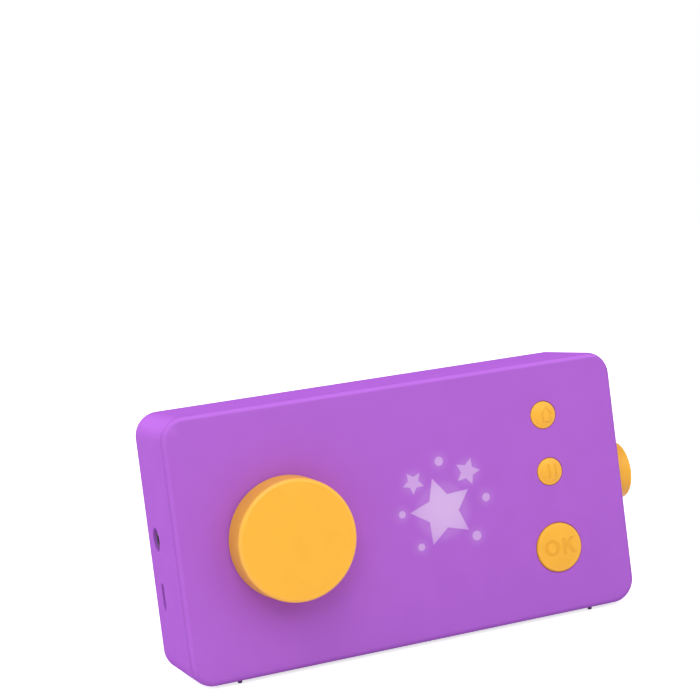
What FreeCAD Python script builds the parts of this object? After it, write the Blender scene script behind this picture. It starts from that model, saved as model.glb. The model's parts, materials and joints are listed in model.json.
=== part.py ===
import FreeCAD, Part
import math
import os
import Sketcher

# Audio story player: a rounded upright casing with a large selector knob, a picture that
# glows through the front panel, three press buttons, a volume knob on the right side and
# the headphone and charging sockets on the left side.
#
# Frame: X runs to the right of someone who faces the front panel, Y runs from the front to
# the back and Z is up. The origin is the middle of the standing area: mid-width and
# mid-depth of the casing, on the surface that the rubber feet stand on.

doc = FreeCAD.newDocument("story_player")

# ------------------------------------------------------------------ driving dimensions, mm
SIZES = [
    # casing shells
    ("casing_width", 160, "overall width of the casing"),
    ("casing_height", 87, "overall height of the casing without its feet"),
    ("casing_depth", 36, "front face to back face"),
    ("corner_radius", 8, "corners of the casing seen from the front"),
    ("front_edge_radius", 2, "rounding round the front face"),
    ("back_edge_radius", 3, "rounding round the back face"),
    ("wall", 2, "wall of both shells"),
    ("cover_depth", 6, "how much of the depth belongs to the rear cover"),
    ("seam_gap", 0.2, "open seam between the front shell and the rear cover"),
    ("lip_thickness", 1.2, "locating lip of the rear cover"),
    ("lip_length", 2.3, "how far the lip reaches into the front shell"),
    ("lip_clearance", 0.1, "lip to the inside of the front shell"),
    # rubber feet
    ("foot_height", 1.2, "foot below the casing"),
    ("foot_seat", 0.8, "foot inside its pocket"),
    ("foot_radius", 0.75, "round foot"),
    ("foot_clearance", 0.1, "foot to its pocket, radial"),
    ("foot_spacing_across", 127, "left to right feet"),
    ("foot_front", 14, "front feet before mid-depth"),
    ("foot_back", 9, "back feet behind mid-depth"),
    # circuit boards
    ("board_thickness", 1.6, "both circuit boards"),
    ("board_corner", 2, "corner radius of the boards"),
    ("control_gap", 5.4, "front panel to the control board"),
    ("control_width", 130, "control board"),
    ("control_height", 65, "control board"),
    ("control_low_edge", 11, "control board lower edge above the casing's underside"),
    ("between_boards", 9.8, "control board to main board"),
    ("main_width", 62, "main board"),
    ("main_height", 50, "main board"),
    ("main_side_gap", 0.8, "main board edge to the left wall"),
    ("main_low_edge", 15, "main board lower edge above the casing's underside"),
    # screws
    ("cover_screw_inset", 9, "cover screws from the casing's outer sides"),
    ("cover_screw_radius", 1.5, "thread of the cover screws"),
    ("cover_head_radius", 2.8, "head of the cover screws"),
    ("cover_head_height", 1.8, "head of the cover screws"),
    ("cover_screw_length", 12, "below the head"),
    ("cover_head_sink", 6, "head seat below the back face"),
    ("cover_post_length", 7, "screw posts of the rear cover"),
    ("board_screw_radius", 1.1, "thread of the board screws"),
    ("board_head_radius", 2.1, "head of the board screws"),
    ("board_head_height", 1.3, "head of the board screws"),
    ("board_screw_length", 5, "below the head"),
    ("speaker_screw_length", 3.4, "below the head"),
    ("thread_clearance", 0.05, "thread to the bore that it cuts into, radial"),
    ("screw_clearance", 0.2, "thread to a plain hole, radial"),
    ("head_clearance", 0.4, "screw head to its counterbore, radial"),
    ("slot_width", 0.8, "arms of the cross recess in a screw head"),
    ("slot_depth", 0.7, "cross recess in a screw head"),
    ("slot_span", 1.3, "arms of the cross recess, in head radii"),
    ("boss_wall", 2.5, "plastic round a cover screw"),
    ("board_boss_wall", 1.6, "plastic round a board screw"),
    ("bore_spare", 0.4, "bore beyond the end of its screw"),
    ("control_boss_left", -60, "bosses of the control board, from mid-width"),
    ("control_boss_middle", 35, "bosses of the control board, from mid-width"),
    ("control_boss_right", 61.5, "bosses between the buttons, from mid-width"),
    ("control_boss_edge", 4, "control board bosses from the board's edges"),
    ("control_boss_upper", 59, "upper right boss above the casing's underside"),
    ("control_boss_lower", 36, "lower right boss above the casing's underside"),
    ("main_boss_edge", 4, "main board posts from the board's edges"),
    ("post_clearance", 0.4, "main board post to its hole in the control board, radial"),
    # selector: big knob on a rotary encoder
    ("selector_across", -42.5, "selector axis from mid-width"),
    ("selector_up", 43.1, "selector axis above the casing's underside"),
    ("selector_radius", 20.1, "knob at its open end"),
    ("selector_taper", 0.4, "how much narrower the knob is at its face, radial"),
    ("selector_reach", 11.1, "knob face in front of the casing"),
    ("selector_edge", 1.35, "rounding of the knob's face"),
    ("selector_skirt", 2, "side wall of the knob"),
    ("selector_face", 2.4, "front wall of the knob"),
    ("encoder_size", 13, "square body of the encoder"),
    ("encoder_bore", 3, "how deep the shaft turns inside the encoder body"),
    # volume: small knob on a potentiometer
    ("volume_deep", 0, "volume axis from mid-depth"),
    ("volume_up", 42.8, "volume axis above the casing's underside"),
    ("volume_radius", 10.2, "knob at its open end"),
    ("volume_taper", 0.15, "how much narrower the knob is at its face, radial"),
    ("volume_reach", 8.4, "knob face beyond the right side"),
    ("volume_edge", 1, "rounding of the knob's face"),
    ("volume_skirt", 1.8, "side wall of the knob"),
    ("volume_face", 2.2, "end wall of the knob"),
    ("potentiometer_size", 10, "square body of the potentiometer"),
    ("potentiometer_depth", 6, "depth of the potentiometer's body"),
    ("potentiometer_bore", 3, "how deep the shaft turns inside the potentiometer"),
    # both knobs
    ("knob_gap", 0.4, "knob skirt to the casing"),
    ("hub_radius", 6, "hub inside a knob"),
    ("hub_gap", 0.5, "hub to the end of the threaded bushing"),
    ("shaft_radius", 3, "control shafts"),
    ("shaft_flat", 2.3, "flat of the shaft from its axis"),
    ("shaft_running", 0.05, "shaft in its bushing, radial"),
    ("shaft_seat", 0.02, "shaft in its knob, radial"),
    ("shaft_end_gap", 0.2, "shaft ends, axial"),
    ("bushing_radius", 3.5, "threaded bushing of both controls"),
    ("bushing_reach", 3, "bushing beyond the casing"),
    ("bushing_clearance", 0.15, "bushing in its hole, radial"),
    ("washer_radius", 5.4, "washer under the panel nut"),
    ("washer_thickness", 0.4, "washer under the panel nut"),
    ("nut_flats", 10, "panel nut across flats"),
    ("nut_thickness", 2, "panel nut"),
    ("nut_clearance", 0.03, "nut and washer on the bushing, radial"),
    # press buttons
    ("button_across", 52.75, "button column from mid-width"),
    ("home_up", 68.4, "home button above the casing's underside"),
    ("pause_up", 49, "pause button above the casing's underside"),
    ("okay_up", 22.9, "OK button above the casing's underside"),
    ("small_radius", 4.65, "home and pause buttons"),
    ("large_radius", 8.4, "OK button"),
    ("button_reach", 1.2, "button in front of the casing"),
    ("button_edge", 0.5, "rounding of a button's face"),
    ("button_clearance", 0.15, "button in its hole, radial"),
    ("button_flange", 1, "retaining flange beyond the button, radial"),
    ("flange_thickness", 0.8, "retaining flange"),
    ("flange_gap", 0.1, "flange behind the front panel"),
    ("stem_radius", 2, "stem on the back of a button"),
    ("switch_size", 6, "square tactile switch"),
    ("switch_height", 3.1, "tactile switch body"),
    ("plunger_radius", 1.7, "switch plunger"),
    ("plunger_reach", 1, "plunger in front of the switch body"),
    ("plunger_hidden", 1.2, "plunger inside the switch body"),
    ("plunger_running", 0.05, "plunger in the switch body, radial"),
    ("press_travel", 0.5, "press of a button"),
    ("press_spare", 0.1, "room left behind a pressed plunger"),
    # picture display
    ("display_across", 13.1, "display axis from mid-width"),
    ("display_up", 44.1, "display axis above the casing's underside"),
    ("lens_radius", 19.5, "round window thinned into the front panel"),
    ("display_skin", 0.8, "panel left in front of the lens"),
    ("lens_clearance", 0.1, "lens in its pocket, radial"),
    ("screen_size", 36, "square screen"),
    ("screen_thickness", 2, "screen"),
    ("screen_clearance", 0.15, "screen in its frame"),
    ("frame_wall", 1.8, "wall of the screen's frame"),
    ("frame_gap", 0.3, "frame behind the front panel"),
    ("frame_ledge", 2.5, "ledge that carries the screen"),
    ("ribbon_width", 12, "flat cable from the screen to its board"),
    ("ribbon_thickness", 0.3, "flat cable from the screen to its board"),
    # sockets on the left side
    ("socket_deep", 5.4, "axis of both sockets behind mid-depth"),
    ("headphone_up", 46.2, "headphone socket above the casing's underside"),
    ("plug_bore", 1.8, "bore for a 3.5 mm plug, radius"),
    ("plug_depth", 14.5, "length of the plug's bore"),
    ("headphone_width", 6.4, "headphone socket body"),
    ("headphone_end", 1.5, "closed end of the headphone socket"),
    ("collar_radius", 2.9, "collar round the socket's mouth"),
    ("collar_length", 1.2, "collar inside the casing's hole"),
    ("headphone_hole", 3.9, "hole in the casing, takes the plug's sleeve"),
    ("socket_gap", 0.2, "socket bodies behind the side wall"),
    ("charging_up", 27.1, "charging socket above the casing's underside"),
    ("charging_slot", 9.2, "slot in the casing, height"),
    ("charging_slot_wide", 3.4, "slot in the casing, width"),
    ("charging_height", 8.9, "socket shell, long way"),
    ("charging_wide", 3.2, "socket shell, short way"),
    ("charging_sheet", 0.35, "sheet of the socket shell"),
    ("charging_length", 7.3, "socket shell, along its axis"),
    ("charging_depth", 6, "cavity of the socket"),
    ("tongue_height", 6.7, "contact tongue, long way"),
    ("tongue_thick", 0.7, "contact tongue"),
    ("tongue_length", 4.8, "contact tongue from the cavity's floor"),
    # memory card, chips and connectors on the main board
    ("card_width", 11, "memory card"),
    ("card_length", 15, "memory card"),
    ("card_thickness", 1, "memory card"),
    ("card_clearance", 0.1, "card in its holder"),
    ("holder_wall", 1.2, "side walls of the card holder"),
    ("holder_sheet", 0.5, "cover and floor of the card holder"),
    ("card_out", 1.2, "card beyond its holder"),
    ("processor_size", 10, "square processor chip"),
    ("chip_height", 1.2, "chips"),
    ("amplifier_size", 5, "square amplifier chip"),
    ("plug_housing_width", 8, "wire connectors, along the board"),
    ("plug_housing_height", 4.5, "wire connectors, off the board"),
    ("plug_housing_deep", 5, "wire connectors, up the board"),
    ("header_length", 30, "connector between the boards"),
    ("header_width", 5, "connector between the boards"),
    ("header_split", 4.4, "male half of the connector between the boards"),
    # battery
    ("battery_width", 52, "battery cell"),
    ("battery_height", 34, "battery cell"),
    ("battery_thickness", 5.6, "battery cell"),
    ("battery_corner", 2, "rounded ends of the battery cell"),
    ("battery_side_gap", 14, "inside of the left wall to the battery"),
    ("foam_thickness", 0.8, "foam pad behind the battery"),
    ("foam_inset", 3, "foam pad inside the battery's outline"),
    ("rib_thickness", 1.4, "rib round the battery"),
    ("rib_height", 4, "rib round the battery"),
    ("rib_clearance", 0.4, "battery to its rib"),
    # loudspeaker
    ("speaker_across", 32, "loudspeaker axis from mid-width"),
    ("speaker_radius", 20, "loudspeaker frame"),
    ("gasket_thickness", 1, "foam ring before the rear cover"),
    ("gasket_width", 2.6, "foam ring"),
    ("speaker_rim", 1.2, "rim of the loudspeaker frame"),
    ("basket_depth", 5, "frame behind the rim"),
    ("basket_floor", 1.2, "floor of the loudspeaker frame"),
    ("basket_sheet", 0.8, "slanted wall of the loudspeaker frame"),
    ("magnet_radius", 11, "magnet"),
    ("magnet_thickness", 5, "magnet"),
    ("cone_radius", 16.4, "paper cone at its rim"),
    ("cone_neck", 5, "paper cone at the coil"),
    ("cone_sheet", 0.4, "paper cone"),
    ("cone_lap", 1, "surround inside the mouth of the frame"),
    ("cone_depth", 3, "rim to neck of the cone"),
    ("coil_sheet", 0.4, "voice coil former"),
    ("seat_clearance", 0.3, "loudspeaker to the ring that centres it"),
    ("seat_wall", 1.4, "ring that centres the loudspeaker"),
    ("seat_height", 2, "ring that centres the loudspeaker"),
    ("clamp_offset", 22.9, "loudspeaker screws from its axis"),
    ("clamp_head_radius", 3.4, "broad head that holds the loudspeaker's rim"),
    ("grille_radius", 0.9, "sound holes"),
    ("grille_pitch", 3.6, "distance between the rings of sound holes"),
    # insulated wires
    ("wire_radius", 0.6, "insulated wires"),
    ("wire_pitch", 1.6, "distance between wires that run together"),
    ("wire_reach", 12, "wires straight out from a connector"),
    ("wire_rise", 8, "how far the battery wires climb beside the cell"),
    ("wire_drop", 10, "volume wires straight out from the potentiometer"),
]

# ------------------------------------------------------ places worked out from the sizes, mm
PLACES = [
    ("front_y", "-Sizes.casing_depth / 2"),
    ("back_y", "Sizes.casing_depth / 2"),
    ("panel_y", "-Sizes.casing_depth / 2 + Sizes.wall"),
    ("cover_y", "Sizes.casing_depth / 2 - Sizes.wall"),
    ("seam_y", "Sizes.casing_depth / 2 - Sizes.cover_depth"),
    ("cover_rim_y", "Sizes.casing_depth / 2 - Sizes.cover_depth + Sizes.seam_gap"),
    ("side_x", "Sizes.casing_width / 2"),
    ("inner_x", "Sizes.casing_width / 2 - Sizes.wall"),
    ("base_z", "Sizes.foot_height"),
    ("mid_z", "Sizes.foot_height + Sizes.casing_height / 2"),
    ("control_front_y", "panel_y + Sizes.control_gap"),
    ("control_back_y", "control_front_y + Sizes.board_thickness"),
    ("control_z", "base_z + Sizes.control_low_edge + Sizes.control_height / 2"),
    ("main_front_y", "control_back_y + Sizes.between_boards"),
    ("main_back_y", "main_front_y + Sizes.board_thickness"),
    ("main_x", "-inner_x + Sizes.main_side_gap + Sizes.main_width / 2"),
    ("main_z", "base_z + Sizes.main_low_edge + Sizes.main_height / 2"),
    ("main_top_z", "main_z + Sizes.main_height / 2"),
    ("main_right_x", "main_x + Sizes.main_width / 2"),
    ("cover_screw_x", "side_x - Sizes.cover_screw_inset"),
    ("cover_screw_rise", "Sizes.casing_height / 2 - Sizes.cover_screw_inset"),
    ("cover_seat_y", "back_y - Sizes.cover_head_sink"),
    ("post_end_y", "cover_y - Sizes.cover_post_length"),
    ("selector_z", "base_z + Sizes.selector_up"),
    ("volume_z", "base_z + Sizes.volume_up"),
    ("flange_back_y", "panel_y + Sizes.flange_gap + Sizes.flange_thickness"),
    ("switch_front_y", "control_front_y - Sizes.switch_height"),
    ("plunger_tip_y", "switch_front_y - Sizes.plunger_reach"),
    ("display_z", "base_z + Sizes.display_up"),
    ("lens_front_y", "front_y + Sizes.display_skin"),
    ("frame_front_y", "panel_y + Sizes.frame_gap"),
    ("frame_size", "Sizes.screen_size + 2 * Sizes.screen_clearance + 2 * Sizes.frame_wall"),
    ("headphone_z", "base_z + Sizes.headphone_up"),
    ("headphone_x", "-inner_x + Sizes.socket_gap"),
    ("charging_z", "base_z + Sizes.charging_up"),
    ("rim_back_y", "cover_y - Sizes.gasket_thickness"),
    ("rim_front_y", "rim_back_y - Sizes.speaker_rim"),
    ("basket_front_y", "rim_front_y - Sizes.basket_depth"),
    ("magnet_front_y", "basket_front_y - Sizes.magnet_thickness"),
    ("foam_front_y", "cover_y - Sizes.foam_thickness"),
    ("battery_front_y", "foam_front_y - Sizes.battery_thickness"),
    ("battery_x", "-inner_x + Sizes.battery_side_gap + Sizes.battery_width / 2"),
    ("battery_end_x", "battery_x + Sizes.battery_width / 2"),
    ("wire_y", "main_back_y + Sizes.plug_housing_height / 2"),
    ("speaker_plug_z", "main_z + Sizes.main_height / 4"),
    ("battery_plug_z", "main_z - Sizes.main_height / 4"),
]

sheet = doc.addObject("Spreadsheet::Sheet", "Sizes")
for row, (alias, number, note) in enumerate(SIZES, start=1):
    sheet.set(f"A{row}", alias)
    sheet.set(f"B{row}", str(number))
    sheet.set(f"C{row}", note)
    sheet.setAlias(f"B{row}", alias)
doc.recompute()

places = doc.addObject("Spreadsheet::Sheet", "Places")
for row, (alias, formula) in enumerate(PLACES, start=1):
    places.set(f"A{row}", alias)
    places.set(f"B{row}", "=" + formula)
    places.setAlias(f"B{row}", alias)
doc.recompute()

FRONT, FLOOR, SIDE = "XZ_Plane", "XY_Plane", "YZ_Plane"
TOWARDS_FRONT = FreeCAD.Rotation(FreeCAD.Vector(1, 0, 0), 90)
TOWARDS_BACK = FreeCAD.Rotation(FreeCAD.Vector(1, 0, 0), -90)
TOWARDS_TOP = FreeCAD.Rotation()
SKETCH_ORIGIN = (-1, 1)
SAME = 1e-6


# ------------------------------------------------------------------------------- helpers
def value(expression):
    """The number that an expression stands for."""
    result = sheet.evalExpression(str(expression))
    return getattr(result, "Value", result)


def new_body(label):
    body = doc.addObject("PartDesign::Body", label)
    body.Label = label
    return body


def new_sketch(body, plane, x="0", y="0", z="0"):
    """A sketch parallel to one of its body's origin planes, its own origin at x, y, z.

    Seen in a FRONT sketch X is right and Z is up, in a FLOOR sketch X is right and Y is up,
    and in a SIDE sketch Y is right and Z is up.
    """
    sketch = body.newObject("Sketcher::SketchObject", f"{body.Name}_sketch")
    support = [item for item in body.Origin.OriginFeatures if item.Role == plane][0]
    sketch.AttachmentSupport = [(support, "")]
    sketch.MapMode = "FlatFace"
    right, up, out = {
        FRONT: (x, z, f"-({y})"),
        FLOOR: (x, y, z),
        SIDE: (y, z, x),
    }[plane]
    sketch.setExpression("AttachmentOffset.Base.x", right)
    sketch.setExpression("AttachmentOffset.Base.y", up)
    sketch.setExpression("AttachmentOffset.Base.z", out)
    return sketch


def constrain(sketch, *arguments):
    """Adds a constraint whose last argument is its expression."""
    number = value(arguments[-1])
    index = sketch.addConstraint(Sketcher.Constraint(*arguments[:-1], number))
    sketch.setExpression(f"Constraints[{index}]", arguments[-1])


def locate(sketch, geometry, point, right, up):
    """Holds one point of a sketch at a place measured from the sketch's origin."""
    for direction, axis, expression in (("DistanceX", -2, right), ("DistanceY", -1, up)):
        if abs(value(expression)) > SAME:
            constrain(sketch, direction, *SKETCH_ORIGIN, geometry, point, expression)
        else:
            sketch.addConstraint(Sketcher.Constraint("PointOnObject", geometry, point, axis))


def draw_circle(sketch, radius, right="0", up="0"):
    centre = FreeCAD.Vector(value(right), value(up), 0)
    normal = FreeCAD.Vector(0, 0, 1)
    circle = sketch.addGeometry(Part.Circle(centre, normal, value(radius)), False)
    constrain(sketch, "Radius", circle, radius)
    locate(sketch, circle, 3, right, up)


def draw_polygon(sketch, points):
    """A closed outline whose corners are given as pairs of expressions."""
    corners = [FreeCAD.Vector(value(right), value(up), 0) for right, up in points]
    first = None
    for index, corner in enumerate(corners):
        following = corners[(index + 1) % len(corners)]
        line = sketch.addGeometry(Part.LineSegment(corner, following), False)
        first = line if first is None else first
        locate(sketch, line, 1, *points[index])
    for index in range(len(corners)):
        following = first + (index + 1) % len(corners)
        sketch.addConstraint(Sketcher.Constraint("Coincident", first + index, 2, following, 1))


def draw_rectangle(sketch, width, height, right="0", up="0"):
    left_edge, right_edge = f"{right} - ({width}) / 2", f"{right} + ({width}) / 2"
    low_edge, high_edge = f"{up} - ({height}) / 2", f"{up} + ({height}) / 2"
    draw_polygon(sketch, [(left_edge, low_edge), (right_edge, low_edge),
                          (right_edge, high_edge), (left_edge, high_edge)])


def draw_rounded(sketch, width, height, radius, right="0", up="0"):
    """A rectangle with round corners about right, up: straight sides joined by arcs."""
    half_w, half_h, bend = value(width) / 2, value(height) / 2, value(radius)
    centre = FreeCAD.Vector(value(right), value(up), 0)
    in_w, in_h = half_w - bend, half_h - bend
    quarter = math.pi / 2
    sides = [((-in_w, -half_h), (in_w, -half_h)), ((half_w, -in_h), (half_w, in_h)),
             ((in_w, half_h), (-in_w, half_h)), ((-half_w, in_h), (-half_w, -in_h))]
    bends = [(in_w, -in_h), (in_w, in_h), (-in_w, in_h), (-in_w, -in_h)]
    lines, arcs = [], []
    for (start, end), middle, turn in zip(sides, bends, (3, 0, 1, 2)):
        begin = centre + FreeCAD.Vector(*start, 0)
        finish = centre + FreeCAD.Vector(*end, 0)
        lines.append(sketch.addGeometry(Part.LineSegment(begin, finish), False))
        hub = centre + FreeCAD.Vector(*middle, 0)
        circle = Part.Circle(hub, FreeCAD.Vector(0, 0, 1), bend)
        arc = Part.ArcOfCircle(circle, turn * quarter, (turn + 1) * quarter)
        arcs.append(sketch.addGeometry(arc, False))
    for index, line in enumerate(lines):
        sketch.addConstraint(Sketcher.Constraint("Tangent", line, 2, arcs[index], 1))
        following = lines[(index + 1) % 4]
        sketch.addConstraint(Sketcher.Constraint("Tangent", arcs[index], 2, following, 1))
    for arc in arcs[1:]:
        sketch.addConstraint(Sketcher.Constraint("Equal", arcs[0], arc))
    constrain(sketch, "Radius", arcs[0], radius)
    sketch.addConstraint(Sketcher.Constraint("Horizontal", lines[0]))
    sketch.addConstraint(Sketcher.Constraint("Vertical", lines[1]))
    low, high = f"{up} - ({height}) / 2", f"{up} + ({height}) / 2"
    left, far = f"{right} - ({width}) / 2", f"{right} + ({width}) / 2"
    constrain(sketch, "DistanceY", *SKETCH_ORIGIN, lines[0], 1, low)
    constrain(sketch, "DistanceX", *SKETCH_ORIGIN, lines[1], 1, far)
    constrain(sketch, "DistanceY", *SKETCH_ORIGIN, lines[2], 1, high)
    constrain(sketch, "DistanceX", *SKETCH_ORIGIN, lines[3], 1, left)


def add_feature(body, kind, sketch, length, reverse=False):
    """A Pad grows along the sketch's normal and a Pocket cuts against it, or the reverse."""
    feature = body.newObject(f"PartDesign::{kind}", f"{body.Name}_{kind.lower()}")
    feature.Profile = sketch
    feature.setExpression("Length", length)
    feature.Reversed = reverse
    return feature


def add_turned(body, kind, sketch):
    """A Revolution or Groove of the sketch about its own upright axis."""
    feature = body.newObject(f"PartDesign::{kind}", f"{body.Name}_{kind.lower()}")
    feature.Profile = sketch
    feature.ReferenceAxis = (sketch, ["V_Axis"])
    feature.Angle = 360
    return feature


def add_fillet(body, radius, keeps):
    """Rounds the tip's edges for which keeps(edge) is true."""
    doc.recompute()
    tip = body.Tip
    names = [f"Edge{n}" for n, edge in enumerate(tip.Shape.Edges, start=1) if keeps(edge)]
    fillet = body.newObject("PartDesign::Fillet", f"{body.Name}_fillet")
    fillet.Base = (tip, names)
    fillet.setExpression("Radius", radius)
    return fillet


def lies_at(edge, axis, place):
    """Whether the whole edge lies in the plane where its coordinate on axis is place."""
    box = edge.BoundBox
    ends = {"x": (box.XMin, box.XMax), "y": (box.YMin, box.YMax), "z": (box.ZMin, box.ZMax)}
    low, high = ends[axis]
    return abs(low - place) < 1e-4 and abs(high - place) < 1e-4


def put(item, rotation, x, y, z):
    item.Placement = FreeCAD.Placement(FreeCAD.Vector(), rotation)
    for letter, expression in (("x", x), ("y", y), ("z", z)):
        item.setExpression(f"Placement.Base.{letter}", expression)
    return item


def cylinder(label, rotation, radius, length, x, y, z):
    item = doc.addObject("Part::Cylinder", label)
    item.setExpression("Radius", radius)
    item.setExpression("Height", length)
    return put(item, rotation, x, y, z)


def block(label, width, depth, height, x, y, z):
    """A box from x to x + width, y to y + depth and z to z + height."""
    item = doc.addObject("Part::Box", label)
    for size, expression in (("Length", width), ("Width", depth), ("Height", height)):
        item.setExpression(size, expression)
    return put(item, TOWARDS_TOP, x, y, z)


def cut(label, base, tool):
    item = doc.addObject("Part::Cut", label)
    item.Base, item.Tool = base, tool
    return item


def ring(label, rotation, outer, inner, length, x, y, z):
    outside = cylinder(f"{label}_outside", rotation, outer, length, x, y, z)
    inside = cylinder(f"{label}_inside", rotation, inner, length, x, y, z)
    return cut(label, outside, inside)


def group(label, pattern, spots, rotation):
    """Copies of one pattern piece as separate solids of one node, at (x, y, z) spots."""
    copies = []
    for index, spot in enumerate(spots, start=1):
        copy = doc.addObject("App::Link", f"{label}_{index}")
        copy.LinkedObject = pattern
        copy.LinkTransform = False
        copies.append(put(copy, rotation, *spot))
    item = doc.addObject("Part::Compound", label)
    item.Links = copies
    return item


def four_spots(x, z_rise, middle_z):
    """The corners of a rectangle about mid-width and middle_z, as (x, z) pairs."""
    return [(f"{sign_x}({x})", f"{middle_z} {sign_z} ({z_rise})")
            for sign_x in ("-", "") for sign_z in ("-", "+")]


# --------------------------------------------------------------------------- shared places
COVER_SCREWS = four_spots("Places.cover_screw_x", "Places.cover_screw_rise", "Places.mid_z")

CONTROL_LOW = "(Places.control_z - Sizes.control_height / 2 + Sizes.control_boss_edge)"
CONTROL_HIGH = "(Places.control_z + Sizes.control_height / 2 - Sizes.control_boss_edge)"
CONTROL_SCREWS = [
    ("Sizes.control_boss_left", CONTROL_LOW),
    ("Sizes.control_boss_left", CONTROL_HIGH),
    ("Sizes.control_boss_middle", CONTROL_LOW),
    ("Sizes.control_boss_middle", CONTROL_HIGH),
    ("Sizes.control_boss_right", "(Places.base_z + Sizes.control_boss_upper)"),
    ("Sizes.control_boss_right", "(Places.base_z + Sizes.control_boss_lower)"),
]
MAIN_SCREWS = [(f"(Places.main_x {sign_x} (Sizes.main_width / 2 - Sizes.main_boss_edge))",
                f"(Places.main_z {sign_z} (Sizes.main_height / 2 - Sizes.main_boss_edge))")
               for sign_x in "-+" for sign_z in "-+"]
SPEAKER_SCREWS = [(f"(Sizes.speaker_across + Sizes.clamp_offset * cos({angle}))",
                   f"(Places.mid_z + Sizes.clamp_offset * sin({angle}))")
                  for angle in (90, 210, 330)]
FEET = [(f"({sign_x}Sizes.foot_spacing_across / 2)", y)
        for sign_x in ("-", "") for y in ("(-Sizes.foot_front)", "Sizes.foot_back")]
BUTTONS = {
    "home": ("(Places.base_z + Sizes.home_up)", "Sizes.small_radius"),
    "pause": ("(Places.base_z + Sizes.pause_up)", "Sizes.small_radius"),
    "ok": ("(Places.base_z + Sizes.okay_up)", "Sizes.large_radius"),
}
COVER_BORE = "Sizes.cover_screw_radius + Sizes.thread_clearance"
BOARD_BORE = "Sizes.board_screw_radius + Sizes.thread_clearance"
BOARD_HOLE = "Sizes.board_screw_radius + Sizes.screw_clearance"
MAIN_POST = "Sizes.board_screw_radius + Sizes.board_boss_wall"
BUSHING_HOLE = "Sizes.bushing_radius + Sizes.bushing_clearance"


# --------------------------------------------------------------------------------- casing
def make_front_shell():
    """Deep tray with the front panel, the side walls, and posts for both boards."""
    body = new_body("front_shell")
    outline = new_sketch(body, FRONT, y="Places.seam_y", z="Places.mid_z")
    draw_rounded(outline, "Sizes.casing_width", "Sizes.casing_height", "Sizes.corner_radius")
    add_feature(body, "Pad", outline, "Places.seam_y - Places.front_y")
    front = value("Places.front_y")
    add_fillet(body, "Sizes.front_edge_radius", lambda edge: lies_at(edge, "y", front))

    hollow = new_sketch(body, FRONT, y="Places.seam_y", z="Places.mid_z")
    draw_rounded(hollow, "Sizes.casing_width - 2 * Sizes.wall",
                 "Sizes.casing_height - 2 * Sizes.wall", "Sizes.corner_radius - Sizes.wall")
    add_feature(body, "Pocket", hollow, "Places.seam_y - Places.panel_y", reverse=True)

    cover_grip = "Sizes.cover_screw_length - (Places.cover_seat_y - Places.post_end_y)"
    board_grip = "Sizes.board_screw_length - Sizes.board_thickness"
    posts = [
        (COVER_SCREWS, "Sizes.cover_screw_radius + Sizes.boss_wall", COVER_BORE,
         "Places.post_end_y", cover_grip),
        (CONTROL_SCREWS, MAIN_POST, BOARD_BORE, "Places.control_front_y", board_grip),
        (MAIN_SCREWS, MAIN_POST, BOARD_BORE, "Places.main_front_y", board_grip),
    ]
    for spots, radius, bore, end_y, grip in posts:
        raised = new_sketch(body, FRONT, y="Places.panel_y")
        drilled = new_sketch(body, FRONT, y=end_y)
        for x, z in spots:
            draw_circle(raised, radius, x, z)
            draw_circle(drilled, bore, x, z)
        add_feature(body, "Pad", raised, f"{end_y} - Places.panel_y", reverse=True)
        add_feature(body, "Pocket", drilled, f"{grip} + Sizes.bore_spare", reverse=True)

    holes = new_sketch(body, FRONT, y="Places.front_y")
    draw_circle(holes, BUSHING_HOLE, "Sizes.selector_across", "Places.selector_z")
    for z, radius in BUTTONS.values():
        draw_circle(holes, f"{radius} + Sizes.button_clearance", "Sizes.button_across", z)
    add_feature(body, "Pocket", holes, "Sizes.wall")

    window = new_sketch(body, FRONT, y="Places.lens_front_y")
    draw_circle(window, "Sizes.lens_radius", "Sizes.display_across", "Places.display_z")
    add_feature(body, "Pocket", window, "Sizes.wall - Sizes.display_skin")

    left = new_sketch(body, SIDE, x="-Places.side_x")
    draw_circle(left, "Sizes.headphone_hole", "Sizes.socket_deep", "Places.headphone_z")
    draw_rounded(left, "Sizes.charging_slot_wide", "Sizes.charging_slot",
                 "Sizes.charging_slot_wide / 2 - 0.01", "Sizes.socket_deep", "Places.charging_z")
    add_feature(body, "Pocket", left, "Sizes.wall", reverse=True)

    right = new_sketch(body, SIDE, x="Places.side_x")
    draw_circle(right, BUSHING_HOLE, "Sizes.volume_deep", "Places.volume_z")
    add_feature(body, "Pocket", right, "Sizes.wall")

    seats = new_sketch(body, FLOOR, z="Places.base_z")
    for x, y in FEET:
        draw_circle(seats, "Sizes.foot_radius + Sizes.foot_clearance", x, y)
    add_feature(body, "Pocket", seats, "Sizes.foot_seat", reverse=True)
    return body


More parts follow.
